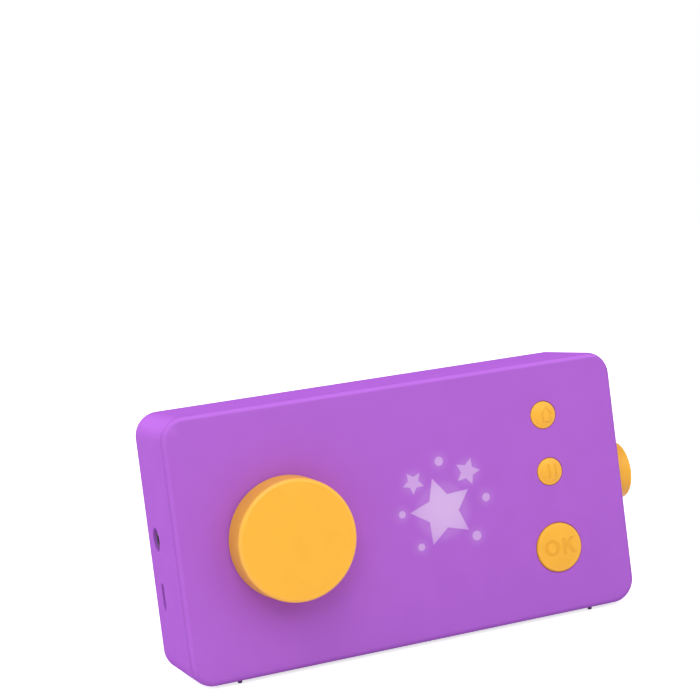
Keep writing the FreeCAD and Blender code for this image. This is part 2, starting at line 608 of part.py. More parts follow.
def make_rear_cover():
    """Shallow lid with a locating lip, screw posts, the loudspeaker seat and its grille."""
    body = new_body("rear_cover")
    outline = new_sketch(body, FRONT, y="Places.back_y", z="Places.mid_z")
    draw_rounded(outline, "Sizes.casing_width", "Sizes.casing_height", "Sizes.corner_radius")
    add_feature(body, "Pad", outline, "Sizes.cover_depth - Sizes.seam_gap")
    back = value("Places.back_y")
    add_fillet(body, "Sizes.back_edge_radius", lambda edge: lies_at(edge, "y", back))

    hollow = new_sketch(body, FRONT, y="Places.cover_rim_y", z="Places.mid_z")
    draw_rounded(hollow, "Sizes.casing_width - 2 * Sizes.wall",
                 "Sizes.casing_height - 2 * Sizes.wall", "Sizes.corner_radius - Sizes.wall")
    add_feature(body, "Pocket", hollow, "Places.cover_y - Places.cover_rim_y")

    lip = new_sketch(body, FRONT, y="Places.cover_y", z="Places.mid_z")
    for inset in ("(Sizes.wall + Sizes.lip_clearance)",
                  "(Sizes.wall + Sizes.lip_clearance + Sizes.lip_thickness)"):
        draw_rounded(lip, f"Sizes.casing_width - 2 * {inset}",
                     f"Sizes.casing_height - 2 * {inset}", f"Sizes.corner_radius - {inset}")
    add_feature(body, "Pad", lip, "Places.cover_y - Places.seam_y + Sizes.lip_length")

    posts = new_sketch(body, FRONT, y="Places.cover_y")
    heads = new_sketch(body, FRONT, y="Places.back_y")
    threads = new_sketch(body, FRONT, y="Places.cover_seat_y")
    for x, z in COVER_SCREWS:
        draw_circle(posts, "Sizes.cover_head_radius + Sizes.head_clearance + Sizes.lip_thickness",
                    x, z)
        draw_circle(heads, "Sizes.cover_head_radius + Sizes.head_clearance", x, z)
        draw_circle(threads, "Sizes.cover_screw_radius + Sizes.screw_clearance", x, z)
    add_feature(body, "Pad", posts, "Sizes.cover_post_length")
    add_feature(body, "Pocket", heads, "Sizes.cover_head_sink", reverse=True)
    add_feature(body, "Pocket", threads, "Places.cover_seat_y - Places.post_end_y", reverse=True)

    seat = new_sketch(body, FRONT, x="Sizes.speaker_across", y="Places.cover_y", z="Places.mid_z")
    draw_circle(seat, "Sizes.speaker_radius + Sizes.seat_clearance")
    draw_circle(seat, "Sizes.speaker_radius + Sizes.seat_clearance + Sizes.seat_wall")
    add_feature(body, "Pad", seat, "Sizes.seat_height")

    bosses = new_sketch(body, FRONT, y="Places.cover_y")
    bores = new_sketch(body, FRONT, y="Places.rim_front_y")
    for x, z in SPEAKER_SCREWS:
        draw_circle(bosses, "Sizes.board_screw_radius + Sizes.seat_wall", x, z)
        draw_circle(bores, BOARD_BORE, x, z)
    add_feature(body, "Pad", bosses, "Sizes.gasket_thickness + Sizes.speaker_rim")
    add_feature(body, "Pocket", bores, "Sizes.speaker_screw_length")

    fence = new_sketch(body, FRONT, x="Places.battery_x", y="Places.cover_y", z="Places.mid_z")
    for inset in ("Sizes.rib_clearance", "(Sizes.rib_clearance + Sizes.rib_thickness)"):
        draw_rounded(fence, f"Sizes.battery_width + 2 * {inset}",
                     f"Sizes.battery_height + 2 * {inset}", f"Sizes.battery_corner + {inset}")
    add_feature(body, "Pad", fence, "Sizes.rib_height")
    make_grille(body)
    return body


def make_grille(body):
    """One sound hole on the loudspeaker's axis and three rings of six, twelve and eighteen."""
    middle = new_sketch(body, FRONT, x="Sizes.speaker_across", y="Places.back_y",
                        z="Places.mid_z")
    draw_circle(middle, "Sizes.grille_radius")
    add_feature(body, "Pocket", middle, "Sizes.wall", reverse=True)
    for number in (1, 2, 3):
        first = new_sketch(body, FRONT, x="Sizes.speaker_across", y="Places.back_y",
                           z="Places.mid_z")
        draw_circle(first, "Sizes.grille_radius", right=f"{number} * Sizes.grille_pitch")
        hole = add_feature(body, "Pocket", first, "Sizes.wall", reverse=True)
        doc.recompute()
        circle_of_holes = body.newObject("PartDesign::PolarPattern", f"grille_ring_{number}")
        circle_of_holes.Originals = [hole]
        circle_of_holes.Axis = (first, ["N_Axis"])
        circle_of_holes.Angle = 360
        circle_of_holes.Occurrences = 6 * number
        body.Tip = circle_of_holes


def make_feet():
    seat = "Sizes.foot_height + Sizes.foot_seat"
    feet = [cylinder(f"rubber_foot_{n}", TOWARDS_TOP, "Sizes.foot_radius", seat, x, y, "0")
            for n, (x, y) in enumerate(FEET, start=1)]
    item = doc.addObject("Part::Compound", "rubber_feet")
    item.Links = feet
    return item


# --------------------------------------------------------------------------------- screws
def make_screw(label, radius, length, head_radius, head_height):
    """Pan-head screw with a cross recess: head from 0 up, thread from 0 down, along Z."""
    body = new_body(label)
    profile = new_sketch(body, FRONT)
    draw_polygon(profile, [("0", head_height), (head_radius, head_height), (head_radius, "0"),
                           (radius, "0"), (radius, f"-({length}) + ({radius})"),
                           ("0", f"-({length})")])
    add_turned(body, "Revolution", profile)
    arm = f"Sizes.slot_span * ({head_radius})"
    for width, height in ((arm, "Sizes.slot_width"), ("Sizes.slot_width", arm)):
        recess = new_sketch(body, FLOOR, z=head_height)
        draw_rectangle(recess, width, height)
        add_feature(body, "Pocket", recess, "Sizes.slot_depth")
    return body


def make_screws():
    cover = make_screw("cover_screw_pattern", "Sizes.cover_screw_radius",
                       "Sizes.cover_screw_length", "Sizes.cover_head_radius",
                       "Sizes.cover_head_height")
    board = make_screw("board_screw_pattern", "Sizes.board_screw_radius",
                       "Sizes.board_screw_length", "Sizes.board_head_radius",
                       "Sizes.board_head_height")
    clamp = make_screw("speaker_screw_pattern", "Sizes.board_screw_radius",
                       "Sizes.speaker_screw_length", "Sizes.clamp_head_radius",
                       "Sizes.board_head_height")
    kinds = [
        ("cover_screws", cover, COVER_SCREWS, "Places.cover_seat_y", TOWARDS_BACK),
        ("control_board_screws", board, CONTROL_SCREWS, "Places.control_back_y", TOWARDS_BACK),
        ("main_board_screws", board, MAIN_SCREWS, "Places.main_back_y", TOWARDS_BACK),
        ("speaker_screws", clamp, SPEAKER_SCREWS, "Places.rim_front_y", TOWARDS_FRONT),
    ]
    return [group(label, pattern, [(x, y, z) for x, z in spots], rotation)
            for label, pattern, spots, y, rotation in kinds]


# ------------------------------------------------------------------- boards and their parts
def make_control_board():
    """Board behind the front panel: carries the encoder, the switches and the display."""
    body = new_body("control_board")
    outline = new_sketch(body, FRONT, y="Places.control_back_y", z="Places.control_z")
    draw_rounded(outline, "Sizes.control_width", "Sizes.control_height", "Sizes.board_corner")
    add_feature(body, "Pad", outline, "Sizes.board_thickness")
    holes = new_sketch(body, FRONT, y="Places.control_front_y")
    for x, z in CONTROL_SCREWS:
        draw_circle(holes, BOARD_HOLE, x, z)
    for x, z in MAIN_SCREWS[2:]:
        draw_circle(holes, f"{MAIN_POST} + Sizes.post_clearance", x, z)
    add_feature(body, "Pocket", holes, "Sizes.board_thickness")
    return body


def make_main_board():
    """Board at mid-depth on the left: carries both sockets, the chips and the memory card."""
    body = new_body("main_board")
    outline = new_sketch(body, FRONT, x="Places.main_x", y="Places.main_back_y",
                         z="Places.main_z")
    draw_rounded(outline, "Sizes.main_width", "Sizes.main_height", "Sizes.board_corner")
    add_feature(body, "Pad", outline, "Sizes.board_thickness")
    holes = new_sketch(body, FRONT, y="Places.main_front_y")
    for x, z in MAIN_SCREWS:
        draw_circle(holes, BOARD_HOLE, x, z)
    add_feature(body, "Pocket", holes, "Sizes.board_thickness")
    return body


def make_board_connector():
    """Male and female halves that join the boards face to face."""
    x = "Places.main_x - Sizes.header_length / 2"
    z = "Places.main_z - Sizes.header_width / 2"
    male = block("board_header", "Sizes.header_length", "Sizes.header_split",
                 "Sizes.header_width", x, "Places.control_back_y", z)
    female = block("board_receptacle", "Sizes.header_length",
                   "Sizes.between_boards - Sizes.header_split", "Sizes.header_width",
                   x, "Places.control_back_y + Sizes.header_split", z)
    return [male, female]


def make_chips():
    """Processor, amplifier and the two wire connectors on the back of the main board."""
    processor = block("processor_chip", "Sizes.processor_size", "Sizes.chip_height",
                      "Sizes.processor_size", "Places.main_x - Sizes.processor_size / 2",
                      "Places.main_back_y", "Places.main_z - Sizes.processor_size / 2")
    amplifier = block("amplifier_chip", "Sizes.amplifier_size", "Sizes.chip_height",
                      "Sizes.amplifier_size",
                      "Places.main_right_x - Sizes.main_boss_edge - 2 * Sizes.amplifier_size",
                      "Places.main_back_y", "Places.main_z")
    housings = []
    for label, z in (("speaker_connector", "Places.speaker_plug_z"),
                     ("battery_connector", "Places.battery_plug_z")):
        housings.append(block(label, "Sizes.plug_housing_width", "Sizes.plug_housing_height",
                              "Sizes.plug_housing_deep",
                              "Places.main_right_x - Sizes.plug_housing_width",
                              "Places.main_back_y", f"{z} - Sizes.plug_housing_deep / 2"))
    return [processor, amplifier, *housings]


def make_card_holder():
    """Holder open at the top edge of the main board, with the memory card in it."""
    body = new_body("card_holder")
    width = "Sizes.card_width + 2 * Sizes.card_clearance + 2 * Sizes.holder_wall"
    height = "Sizes.card_thickness + 2 * Sizes.card_clearance + 2 * Sizes.holder_sheet"
    length = "Sizes.card_length - Sizes.card_out + Sizes.holder_wall"
    middle_y = f"(Places.main_back_y + ({height}) / 2)"
    outline = new_sketch(body, FLOOR, x="Places.main_x", y=middle_y, z="Places.main_top_z")
    draw_rectangle(outline, width, height)
    add_feature(body, "Pad", outline, length, reverse=True)
    slot = new_sketch(body, FLOOR, x="Places.main_x", y=middle_y, z="Places.main_top_z")
    draw_rectangle(slot, "Sizes.card_width + 2 * Sizes.card_clearance",
                   "Sizes.card_thickness + 2 * Sizes.card_clearance")
    add_feature(body, "Pocket", slot, "Sizes.card_length - Sizes.card_out")
    card = block("memory_card", "Sizes.card_width", "Sizes.card_thickness",
                 "Sizes.card_length", "Places.main_x - Sizes.card_width / 2",
                 "Places.main_back_y + Sizes.holder_sheet + Sizes.card_clearance",
                 "Places.main_top_z - Sizes.card_length + Sizes.card_out")
    return [body, card]


def make_headphone_socket():
    """Block on the main board with a collar in the casing's hole and a bore for the plug."""
    body = new_body("headphone_socket")
    housing = new_sketch(body, SIDE, x="Places.headphone_x", z="Places.headphone_z")
    half = "Sizes.headphone_width / 2"
    draw_polygon(housing, [("Places.main_back_y", f"-{half}"), ("Places.main_back_y", half),
                           (f"Sizes.socket_deep + {half}", half),
                           (f"Sizes.socket_deep + {half}", f"-{half}")])
    add_feature(body, "Pad", housing,
                "Sizes.plug_depth - Sizes.collar_length + Sizes.headphone_end")
    collar = new_sketch(body, SIDE, x="Places.headphone_x", y="Sizes.socket_deep",
                        z="Places.headphone_z")
    draw_circle(collar, "Sizes.collar_radius")
    add_feature(body, "Pad", collar, "Sizes.collar_length", reverse=True)
    bore = new_sketch(body, SIDE, x="Places.headphone_x - Sizes.collar_length",
                      y="Sizes.socket_deep", z="Places.headphone_z")
    draw_circle(bore, "Sizes.plug_bore")
    add_feature(body, "Pocket", bore, "Sizes.plug_depth", reverse=True)
    return body


def make_charging_socket():
    """Oblong metal shell with a contact tongue, on a raised base on the main board."""
    body = new_body("charging_socket")
    place = {"x": "Places.headphone_x", "y": "Sizes.socket_deep", "z": "Places.charging_z"}
    shell = new_sketch(body, SIDE, **place)
    draw_rounded(shell, "Sizes.charging_wide", "Sizes.charging_height",
                 "Sizes.charging_wide / 2 - 0.01")
    add_feature(body, "Pad", shell, "Sizes.charging_length")
    base = new_sketch(body, SIDE, **place)
    draw_rectangle(base, "Sizes.socket_deep - Places.main_back_y",
                   "Sizes.charging_height - Sizes.charging_wide",
                   "-(Sizes.socket_deep - Places.main_back_y) / 2")
    add_feature(body, "Pad", base, "Sizes.charging_length")
    cavity = new_sketch(body, SIDE, **place)
    draw_rounded(cavity, "Sizes.charging_wide - 2 * Sizes.charging_sheet",
                 "Sizes.charging_height - 2 * Sizes.charging_sheet",
                 "Sizes.charging_wide / 2 - Sizes.charging_sheet - 0.01")
    add_feature(body, "Pocket", cavity, "Sizes.charging_depth", reverse=True)
    tongue = new_sketch(body, SIDE, x="Places.headphone_x + Sizes.charging_depth",
                        y="Sizes.socket_deep", z="Places.charging_z")
    draw_rectangle(tongue, "Sizes.tongue_thick", "Sizes.tongue_height")
    add_feature(body, "Pad", tongue, "Sizes.tongue_length", reverse=True)
    return body


# -------------------------------------------------------------------------------- display
def make_display():
    """Clear lens in the thinned panel, the screen behind it, its frame and its flat cable."""
    lens = cylinder("display_lens", TOWARDS_BACK, "Sizes.lens_radius - Sizes.lens_clearance",
                    "Sizes.wall - Sizes.display_skin", "Sizes.display_across",
                    "Places.lens_front_y", "Places.display_z")
    screen = block("display_screen", "Sizes.screen_size", "Sizes.screen_thickness",
                   "Sizes.screen_size", "Sizes.display_across - Sizes.screen_size / 2",
                   "Places.frame_front_y", "Places.display_z - Sizes.screen_size / 2")
    frame = new_body("display_frame")
    place = {"x": "Sizes.display_across", "z": "Places.display_z"}
    outline = new_sketch(frame, FRONT, y="Places.control_front_y", **place)
    draw_rounded(outline, "Places.frame_size", "Places.frame_size", "Sizes.frame_wall")
    add_feature(frame, "Pad", outline, "Places.control_front_y - Places.frame_front_y")
    seat = new_sketch(frame, FRONT, y="Places.frame_front_y", **place)
    opening = "Sizes.screen_size + 2 * Sizes.screen_clearance"
    draw_rectangle(seat, opening, opening)
    add_feature(frame, "Pocket", seat, "Sizes.screen_thickness")
    hollow = new_sketch(frame, FRONT, y="Places.frame_front_y", **place)
    inside = f"{opening} - 2 * Sizes.frame_ledge"
    draw_rectangle(hollow, inside, inside)
    add_feature(frame, "Pocket", hollow, "Places.control_front_y - Places.frame_front_y")
    screen_back = "(Places.frame_front_y + Sizes.screen_thickness)"
    ribbon = block("display_cable", "Sizes.ribbon_width",
                   f"Places.control_front_y - {screen_back}", "Sizes.ribbon_thickness",
                   "Sizes.display_across - Sizes.ribbon_width / 2", screen_back,
                   "Places.display_z - Sizes.ribbon_thickness / 2")
    return [lens, screen, frame, ribbon]


# --------------------------------------------------------------------------- press buttons
def make_button(name, z, radius):
    """Button cap, the plunger that it presses and the switch on the control board."""
    cap = new_body(f"{name}_button")
    profile = new_sketch(cap, FLOOR, x="Sizes.button_across", z=z)
    face = "Places.front_y - Sizes.button_reach"
    flange_front = "Places.panel_y + Sizes.flange_gap"
    brim = f"{radius} + Sizes.button_flange"
    draw_polygon(profile, [("0", face), (radius, face), (radius, flange_front),
                           (brim, flange_front), (brim, "Places.flange_back_y"),
                           ("Sizes.stem_radius", "Places.flange_back_y"),
                           ("Sizes.stem_radius", "Places.plunger_tip_y"),
                           ("0", "Places.plunger_tip_y")])
    add_turned(cap, "Revolution", profile)
    face_y = value(face)
    add_fillet(cap, "Sizes.button_edge", lambda edge: lies_at(edge, "y", face_y))

    plunger = cylinder(f"{name}_plunger", TOWARDS_BACK, "Sizes.plunger_radius",
                       "Sizes.plunger_reach + Sizes.plunger_hidden",
                       "Sizes.button_across", "Places.plunger_tip_y", z)

    switch = new_body(f"{name}_switch")
    place = {"x": "Sizes.button_across", "z": z}
    case = new_sketch(switch, FRONT, y="Places.control_front_y", **place)
    draw_rectangle(case, "Sizes.switch_size", "Sizes.switch_size")
    add_feature(switch, "Pad", case, "Sizes.switch_height")
    bore = new_sketch(switch, FRONT, y="Places.switch_front_y", **place)
    draw_circle(bore, "Sizes.plunger_radius + Sizes.plunger_running")
    add_feature(switch, "Pocket", bore,
                "Sizes.plunger_hidden + Sizes.press_travel + Sizes.press_spare")
    return [cap, plunger, switch]


# ------------------------------------------------------------------------- rotary controls
class Rotary:
    """A knob on a panel-mounted control whose axis points straight out of one wall.

    Places along the axis are given as how far they lie outside the casing's outer face,
    so the inside of the casing has negative places.
    """

    def __init__(self, plane, place, radius, taper, reach, edge, skirt, face):
        self.plane, self.place = plane, place
        self.radius, self.taper = radius, taper
        self.reach, self.edge = reach, edge
        self.skirt, self.face = skirt, face
        self.ceiling = f"({reach} - {face})"
        self.hub_end = "(Sizes.bushing_reach + Sizes.hub_gap)"

    def at(self, out):
        """The row coordinate of a place along the axis."""
        if self.plane == FRONT:
            return f"(Places.front_y - ({out}))"
        return f"(Places.side_x + ({out}))"

    def sketch(self, body, out):
        """A sketch across the axis at a place along it; a Pad of it grows outwards."""
        axis = "y" if self.plane == FRONT else "x"
        return new_sketch(body, self.plane, **{**self.place, axis: self.at(out)})

    def make_knob(self, label):
        """Hollow, slightly tapered knob with a hub, its bore flattened to drive the shaft."""
        body = new_body(label)
        profile = new_sketch(body, FLOOR, **self.place)
        inside = f"{self.radius} - {self.skirt}"
        bore = "Sizes.shaft_radius + Sizes.shaft_seat"
        corners = [
            ("0", self.reach), (f"{self.radius} - {self.taper}", self.reach),
            (self.radius, "Sizes.knob_gap"), (inside, "Sizes.knob_gap"),
            (f"{inside} - {self.taper}", self.ceiling),
            ("Sizes.hub_radius", self.ceiling), ("Sizes.hub_radius", self.hub_end),
            (bore, self.hub_end), (bore, self.ceiling), ("0", self.ceiling)]
        outline = [(radius, self.at(out)) for radius, out in corners]
        if self.plane == SIDE:
            outline = [(along, radius) for radius, along in outline]
        draw_polygon(profile, outline)
        turned = add_turned(body, "Revolution", profile)
        turned.ReferenceAxis = (profile, ["V_Axis" if self.plane == FRONT else "H_Axis"])
        letter, face = ("y" if self.plane == FRONT else "x"), value(self.at(self.reach))
        add_fillet(body, self.edge, lambda rim: lies_at(rim, letter, face))
        key = self.sketch(body, self.hub_end)
        flat = "Sizes.shaft_flat + Sizes.shaft_seat"
        draw_polygon(key, [(f"-({bore})", flat), (bore, flat), (bore, bore),
                           (f"-({bore})", bore)])
        add_feature(body, "Pad", key, f"{self.ceiling} - {self.hub_end}")
        return body

    def make_shaft(self, label, bore):
        """Round shaft with a flat where it drives the knob."""
        body = new_body(label)
        start, end = f"-(Sizes.wall + {bore})", f"({self.ceiling} - Sizes.shaft_end_gap)"
        section = self.sketch(body, start)
        draw_circle(section, "Sizes.shaft_radius")
        add_feature(body, "Pad", section, f"{end} - ({start})")
        flat = self.sketch(body, end)
        draw_rectangle(flat, "2 * Sizes.shaft_radius", "Sizes.shaft_radius",
                       up="Sizes.shaft_flat + Sizes.shaft_radius / 2")
        add_feature(body, "Pocket", flat, f"{end} - {self.hub_end}")
        return body

    def make_case(self, label, size, depth, bore):
        """Square case behind the wall with the threaded bushing that passes through it."""
        body = new_body(label)
        case = self.sketch(body, "-Sizes.wall")
        draw_rectangle(case, size, size)
        add_feature(body, "Pad", case, depth, reverse=True)
        thread = self.sketch(body, "-Sizes.wall")
        draw_circle(thread, "Sizes.bushing_radius")
        add_feature(body, "Pad", thread, "Sizes.wall + Sizes.bushing_reach")
        hole = self.sketch(body, "Sizes.bushing_reach")
        draw_circle(hole, "Sizes.shaft_radius + Sizes.shaft_running")
        add_feature(body, "Pocket", hole, "Sizes.bushing_reach + Sizes.wall"
                    f" + {bore} + Sizes.shaft_end_gap")
        return body

    def make_washer(self, label):
        body = new_body(label)
        outline = self.sketch(body, "0")
        draw_circle(outline, "Sizes.washer_radius")
        draw_circle(outline, "Sizes.bushing_radius + Sizes.nut_clearance")
        add_feature(body, "Pad", outline, "Sizes.washer_thickness")
        return body

    def make_nut(self, label):
        """Hexagonal panel nut on the washer, its flats nut_flats apart."""
        body = new_body(label)
        outline = self.sketch(body, "Sizes.washer_thickness")
        half, corner = "Sizes.nut_flats / 2", "Sizes.nut_flats / 2 / cos(30)"
        side = "Sizes.nut_flats / 2 * tan(30)"
        draw_polygon(outline, [(corner, "0"), (side, half), (f"-{side}", half),
                               (f"-{corner}", "0"), (f"-{side}", f"-{half}"),
                               (side, f"-{half}")])
        draw_circle(outline, "Sizes.bushing_radius + Sizes.nut_clearance")
        add_feature(body, "Pad", outline, "Sizes.nut_thickness")
        return body


def make_selector():
    """Selector knob on the front panel, on the encoder that the control board carries."""
    control = Rotary(FRONT, {"x": "Sizes.selector_across", "z": "Places.selector_z"},
                     "Sizes.selector_radius", "Sizes.selector_taper", "Sizes.selector_reach",
                     "Sizes.selector_edge", "Sizes.selector_skirt", "Sizes.selector_face")
    return [control.make_knob("selector_knob"),
            control.make_shaft("encoder_shaft", "Sizes.encoder_bore"),
            control.make_case("encoder_body", "Sizes.encoder_size", "Sizes.control_gap",
                              "Sizes.encoder_bore"),
            control.make_washer("selector_washer"), control.make_nut("selector_nut")]


def make_volume():
    """Volume knob on the right side, on a potentiometer with the on and off switch."""
    control = Rotary(SIDE, {"y": "Sizes.volume_deep", "z": "Places.volume_z"},
                     "Sizes.volume_radius", "Sizes.volume_taper", "Sizes.volume_reach",
                     "Sizes.volume_edge", "Sizes.volume_skirt", "Sizes.volume_face")
    return [control.make_knob("volume_knob"),
            control.make_shaft("volume_shaft", "Sizes.potentiometer_bore"),
            control.make_case("volume_potentiometer", "Sizes.potentiometer_size",
                              "Sizes.potentiometer_depth", "Sizes.potentiometer_bore"),
            control.make_washer("volume_washer"), control.make_nut("volume_nut")]


# --------------------------------------------------------------------- battery, loudspeaker
def make_battery():
    """Flat cell inside the rear cover's rib, on a foam pad."""
    cell = new_body("battery_cell")
    outline = new_sketch(cell, FRONT, x="Places.battery_x", y="Places.foam_front_y",
                         z="Places.mid_z")
    draw_rounded(outline, "Sizes.battery_width", "Sizes.battery_height",
                 "Sizes.battery_corner")
    add_feature(cell, "Pad", outline, "Sizes.battery_thickness")
    foam_width = "(Sizes.battery_width - 2 * Sizes.foam_inset)"
    foam_height = "(Sizes.battery_height - 2 * Sizes.foam_inset)"
    foam = block("battery_foam", foam_width, "Sizes.foam_thickness", foam_height,
                 f"Places.battery_x - {foam_width} / 2", "Places.foam_front_y",
                 f"Places.mid_z - {foam_height} / 2")
    return [cell, foam]


def make_speaker():
    """Loudspeaker that faces the grille: gasket, frame, magnet, cone and voice coil."""
    x, z = "Sizes.speaker_across", "Places.mid_z"
    gasket = ring("speaker_gasket", TOWARDS_BACK, "Sizes.speaker_radius",
                  "Sizes.speaker_radius - Sizes.gasket_width", "Sizes.gasket_thickness",
                  x, "Places.rim_back_y", z)
    frame = new_body("speaker_frame")
    profile = new_sketch(frame, FLOOR, x=x, z=z)
    mouth = "Sizes.cone_radius"
    floor_y = "Places.basket_front_y + Sizes.basket_floor"
    draw_polygon(profile, [
        (mouth, "Places.rim_back_y"), ("Sizes.speaker_radius", "Places.rim_back_y"),
        ("Sizes.speaker_radius", "Places.rim_front_y"),
        (f"{mouth} + Sizes.basket_sheet", "Places.rim_front_y"),
        ("Sizes.magnet_radius + Sizes.basket_sheet", "Places.basket_front_y"),
        ("0", "Places.basket_front_y"), ("0", floor_y), ("Sizes.magnet_radius", floor_y),
        (mouth, "Places.rim_front_y")])
    add_turned(frame, "Revolution", profile)

    magnet = cylinder("speaker_magnet", TOWARDS_BACK, "Sizes.magnet_radius",
                      "Sizes.magnet_thickness", x, "Places.magnet_front_y", z)

    cone = new_body("speaker_cone")
    shape = new_sketch(cone, FLOOR, x=x, z=z)
    neck, lap = "Sizes.cone_neck", f"{mouth} - Sizes.cone_lap"
    edge = "Sizes.speaker_radius - Sizes.gasket_width"
    low = "Places.rim_back_y - Sizes.cone_depth"
    draw_polygon(shape, [
        ("0", f"{low} + Sizes.cone_sheet"), (neck, f"{low} + Sizes.cone_sheet"),
        (lap, "Places.rim_back_y"), (lap, "Places.rim_back_y + Sizes.cone_sheet"),
        (edge, "Places.rim_back_y + Sizes.cone_sheet"), (edge, "Places.rim_back_y"),
        (f"{mouth} - Sizes.cone_sheet", "Places.rim_back_y"),
        (f"{neck} + Sizes.coil_sheet", low), ("0", low)])
    add_turned(cone, "Revolution", shape)

    coil = ring("voice_coil", TOWARDS_BACK, neck, f"{neck} - Sizes.coil_sheet",
                f"{low} - ({floor_y})", x, floor_y, z)
    return [gasket, frame, magnet, cone, coil]


# ---------------------------------------------------------------------------------- wires
def wire_path(points):
    """Straight runs through the points, joined by the largest arcs that the runs allow."""
    edges, start = [], points[0]
    for before, corner, after in zip(points, points[1:], points[2:]):
        back, ahead = before - corner, after - corner
        reach = 0.45 * min(back.Length, ahead.Length)
        turn = math.pi - back.getAngle(ahead)
        bend = reach / math.tan(turn / 2)
        back.normalize()
        ahead.normalize()
        inward = back + ahead
        inward.normalize()
        entry, leave = corner + back * reach, corner + ahead * reach
        middle = corner + inward * (bend / math.cos(turn / 2) - bend)
        edges.append(Part.LineSegment(start, entry).toShape())
        edges.append(Part.Arc(entry, middle, leave).toShape())
        print(f"wire bend radius {bend:.2f} mm")
        start = leave
    edges.append(Part.LineSegment(start, points[-1]).toShape())
    return Part.Wire(edges)


def make_wires(label, route, count):
    """Insulated wires side by side, one above the other, each a solid of its own."""
    wires = []
    for number in range(count):
        rise = value("Sizes.wire_pitch") * (number - (count - 1) / 2)
        points = [FreeCAD.Vector(value(x), value(y), value(z) + rise) for x, y, z in route]
        path = wire_path(points)
        section = Part.Circle(points[0], points[1] - points[0], value("Sizes.wire_radius"))
        profile = Part.Wire([section.toShape()])
        wires.append(path.makePipeShell([profile], True, False))
    item = doc.addObject("Part::Feature", label)
    item.Shape = Part.makeCompound(wires)
    return item


def make_wiring():
    """Leads of the loudspeaker, the battery and the volume potentiometer."""
    out_x = "(Places.main_right_x + Sizes.wire_reach)"
    rim_x = "(Sizes.speaker_across - (Sizes.speaker_radius + Sizes.cone_radius) / 2)"
    speaker = make_wires("speaker_wires", [
        ("Places.main_right_x", "Places.wire_y", "Places.speaker_plug_z"),
        (out_x, "Places.wire_y", "Places.speaker_plug_z"),
        (rim_x, "Places.wire_y", "Places.mid_z"),
        (rim_x, "Places.rim_front_y", "Places.mid_z")], 2)
    end_y = "(Places.battery_front_y + 2 * Sizes.wire_radius)"
    climb_z = "(Places.battery_plug_z + Sizes.wire_rise)"
    battery = make_wires("battery_wires", [
        ("Places.main_right_x", "Places.wire_y", "Places.battery_plug_z"),
        (out_x, "Places.wire_y", "Places.battery_plug_z"),
        (out_x, end_y, climb_z), ("Places.battery_end_x", end_y, climb_z)], 2)
    case_x = "(Places.inner_x - Sizes.potentiometer_depth)"
    turn_x = f"({case_x} - Sizes.wire_drop)"
    volume = make_wires("volume_wires", [
        (case_x, "Sizes.volume_deep", "Places.volume_z"),
        (turn_x, "Sizes.volume_deep", "Places.volume_z"),
        (turn_x, "Places.control_back_y", "Places.volume_z")], 3)
    return [speaker, battery, volume]


# ----------------------------------------------------------------------- build and export
pieces = [make_front_shell(), make_rear_cover(), make_feet(), *make_screws()]
pieces += [make_control_board(), make_main_board(), *make_board_connector(), *make_chips()]
pieces += [*make_card_holder(), make_headphone_socket(), make_charging_socket()]
pieces += make_display()
for button_name, (button_z, button_radius) in BUTTONS.items():
    pieces += make_button(button_name, button_z, button_radius)
pieces += [*make_selector(), *make_volume(), *make_battery(), *make_speaker()]
pieces += make_wiring()
doc.recompute()

faults = [f"{item.Name}: {state}" for item in doc.Objects for state in item.State
          if state in ("Invalid", "Error")]
for piece in pieces:
    if piece.Shape.isNull() or not piece.Shape.isValid():
        faults.append(f"{piece.Name}: its shape is null or not valid")
if faults:
    raise RuntimeError("; ".join(faults))

os.makedirs("parts", exist_ok=True)
for piece in pieces:
    piece.Shape.exportStep(f"parts/{piece.Label}.step")
    print(f"{piece.Label}: {len(piece.Shape.Solids)} solid(s), {piece.Shape.Volume:.1f} mm3")
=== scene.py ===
"""Dresses the audio story player: casing, knobs, press buttons, glowing display and works inside.

Lengths in the classes are millimetres, apart from the studio's, and are turned into metres when
a mesh is made. The axes are those of the part: X to the right of someone facing the front, Y
from front to back, Z up.
"""

import json
import logging
import math
from dataclasses import dataclass
from enum import Enum
from typing import Callable, Optional, Sequence, Union

import bmesh
import bpy
import numpy as np
from mathutils import Matrix, Vector

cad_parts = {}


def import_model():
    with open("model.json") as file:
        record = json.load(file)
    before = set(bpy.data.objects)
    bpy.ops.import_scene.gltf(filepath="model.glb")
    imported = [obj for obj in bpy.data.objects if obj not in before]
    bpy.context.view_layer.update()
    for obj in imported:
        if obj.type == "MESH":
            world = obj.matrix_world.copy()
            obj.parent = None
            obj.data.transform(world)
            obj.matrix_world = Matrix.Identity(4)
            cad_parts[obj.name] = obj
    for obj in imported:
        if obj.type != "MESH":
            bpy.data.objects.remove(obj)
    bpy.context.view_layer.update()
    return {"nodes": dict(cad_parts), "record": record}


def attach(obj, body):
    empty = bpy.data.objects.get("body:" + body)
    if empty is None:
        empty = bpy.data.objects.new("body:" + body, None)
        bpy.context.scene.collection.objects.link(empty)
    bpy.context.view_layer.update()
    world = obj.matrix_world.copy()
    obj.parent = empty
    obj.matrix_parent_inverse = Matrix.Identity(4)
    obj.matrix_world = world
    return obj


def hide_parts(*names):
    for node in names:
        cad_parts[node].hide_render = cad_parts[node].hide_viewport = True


MM = 0.001
MM_PER_METRE = 1000.0
SAME_SPOT = 2e-7  # metres between two points that are merged
NO_WIDTH = 1e-6  # millimetres across a row of points that is a single spot
OVERSHOOT = 0.6  # millimetres that a cutter goes beyond the face that it opens
BITE = 1.0  # millimetres that a solid goes into or past the wall that it joins or cuts
SHARP_ANGLE = math.radians(38)
FACE_WEIGHT = 60
POLISH = 0.07  # how much smoother handling makes a surface
log = logging.getLogger("story_player")

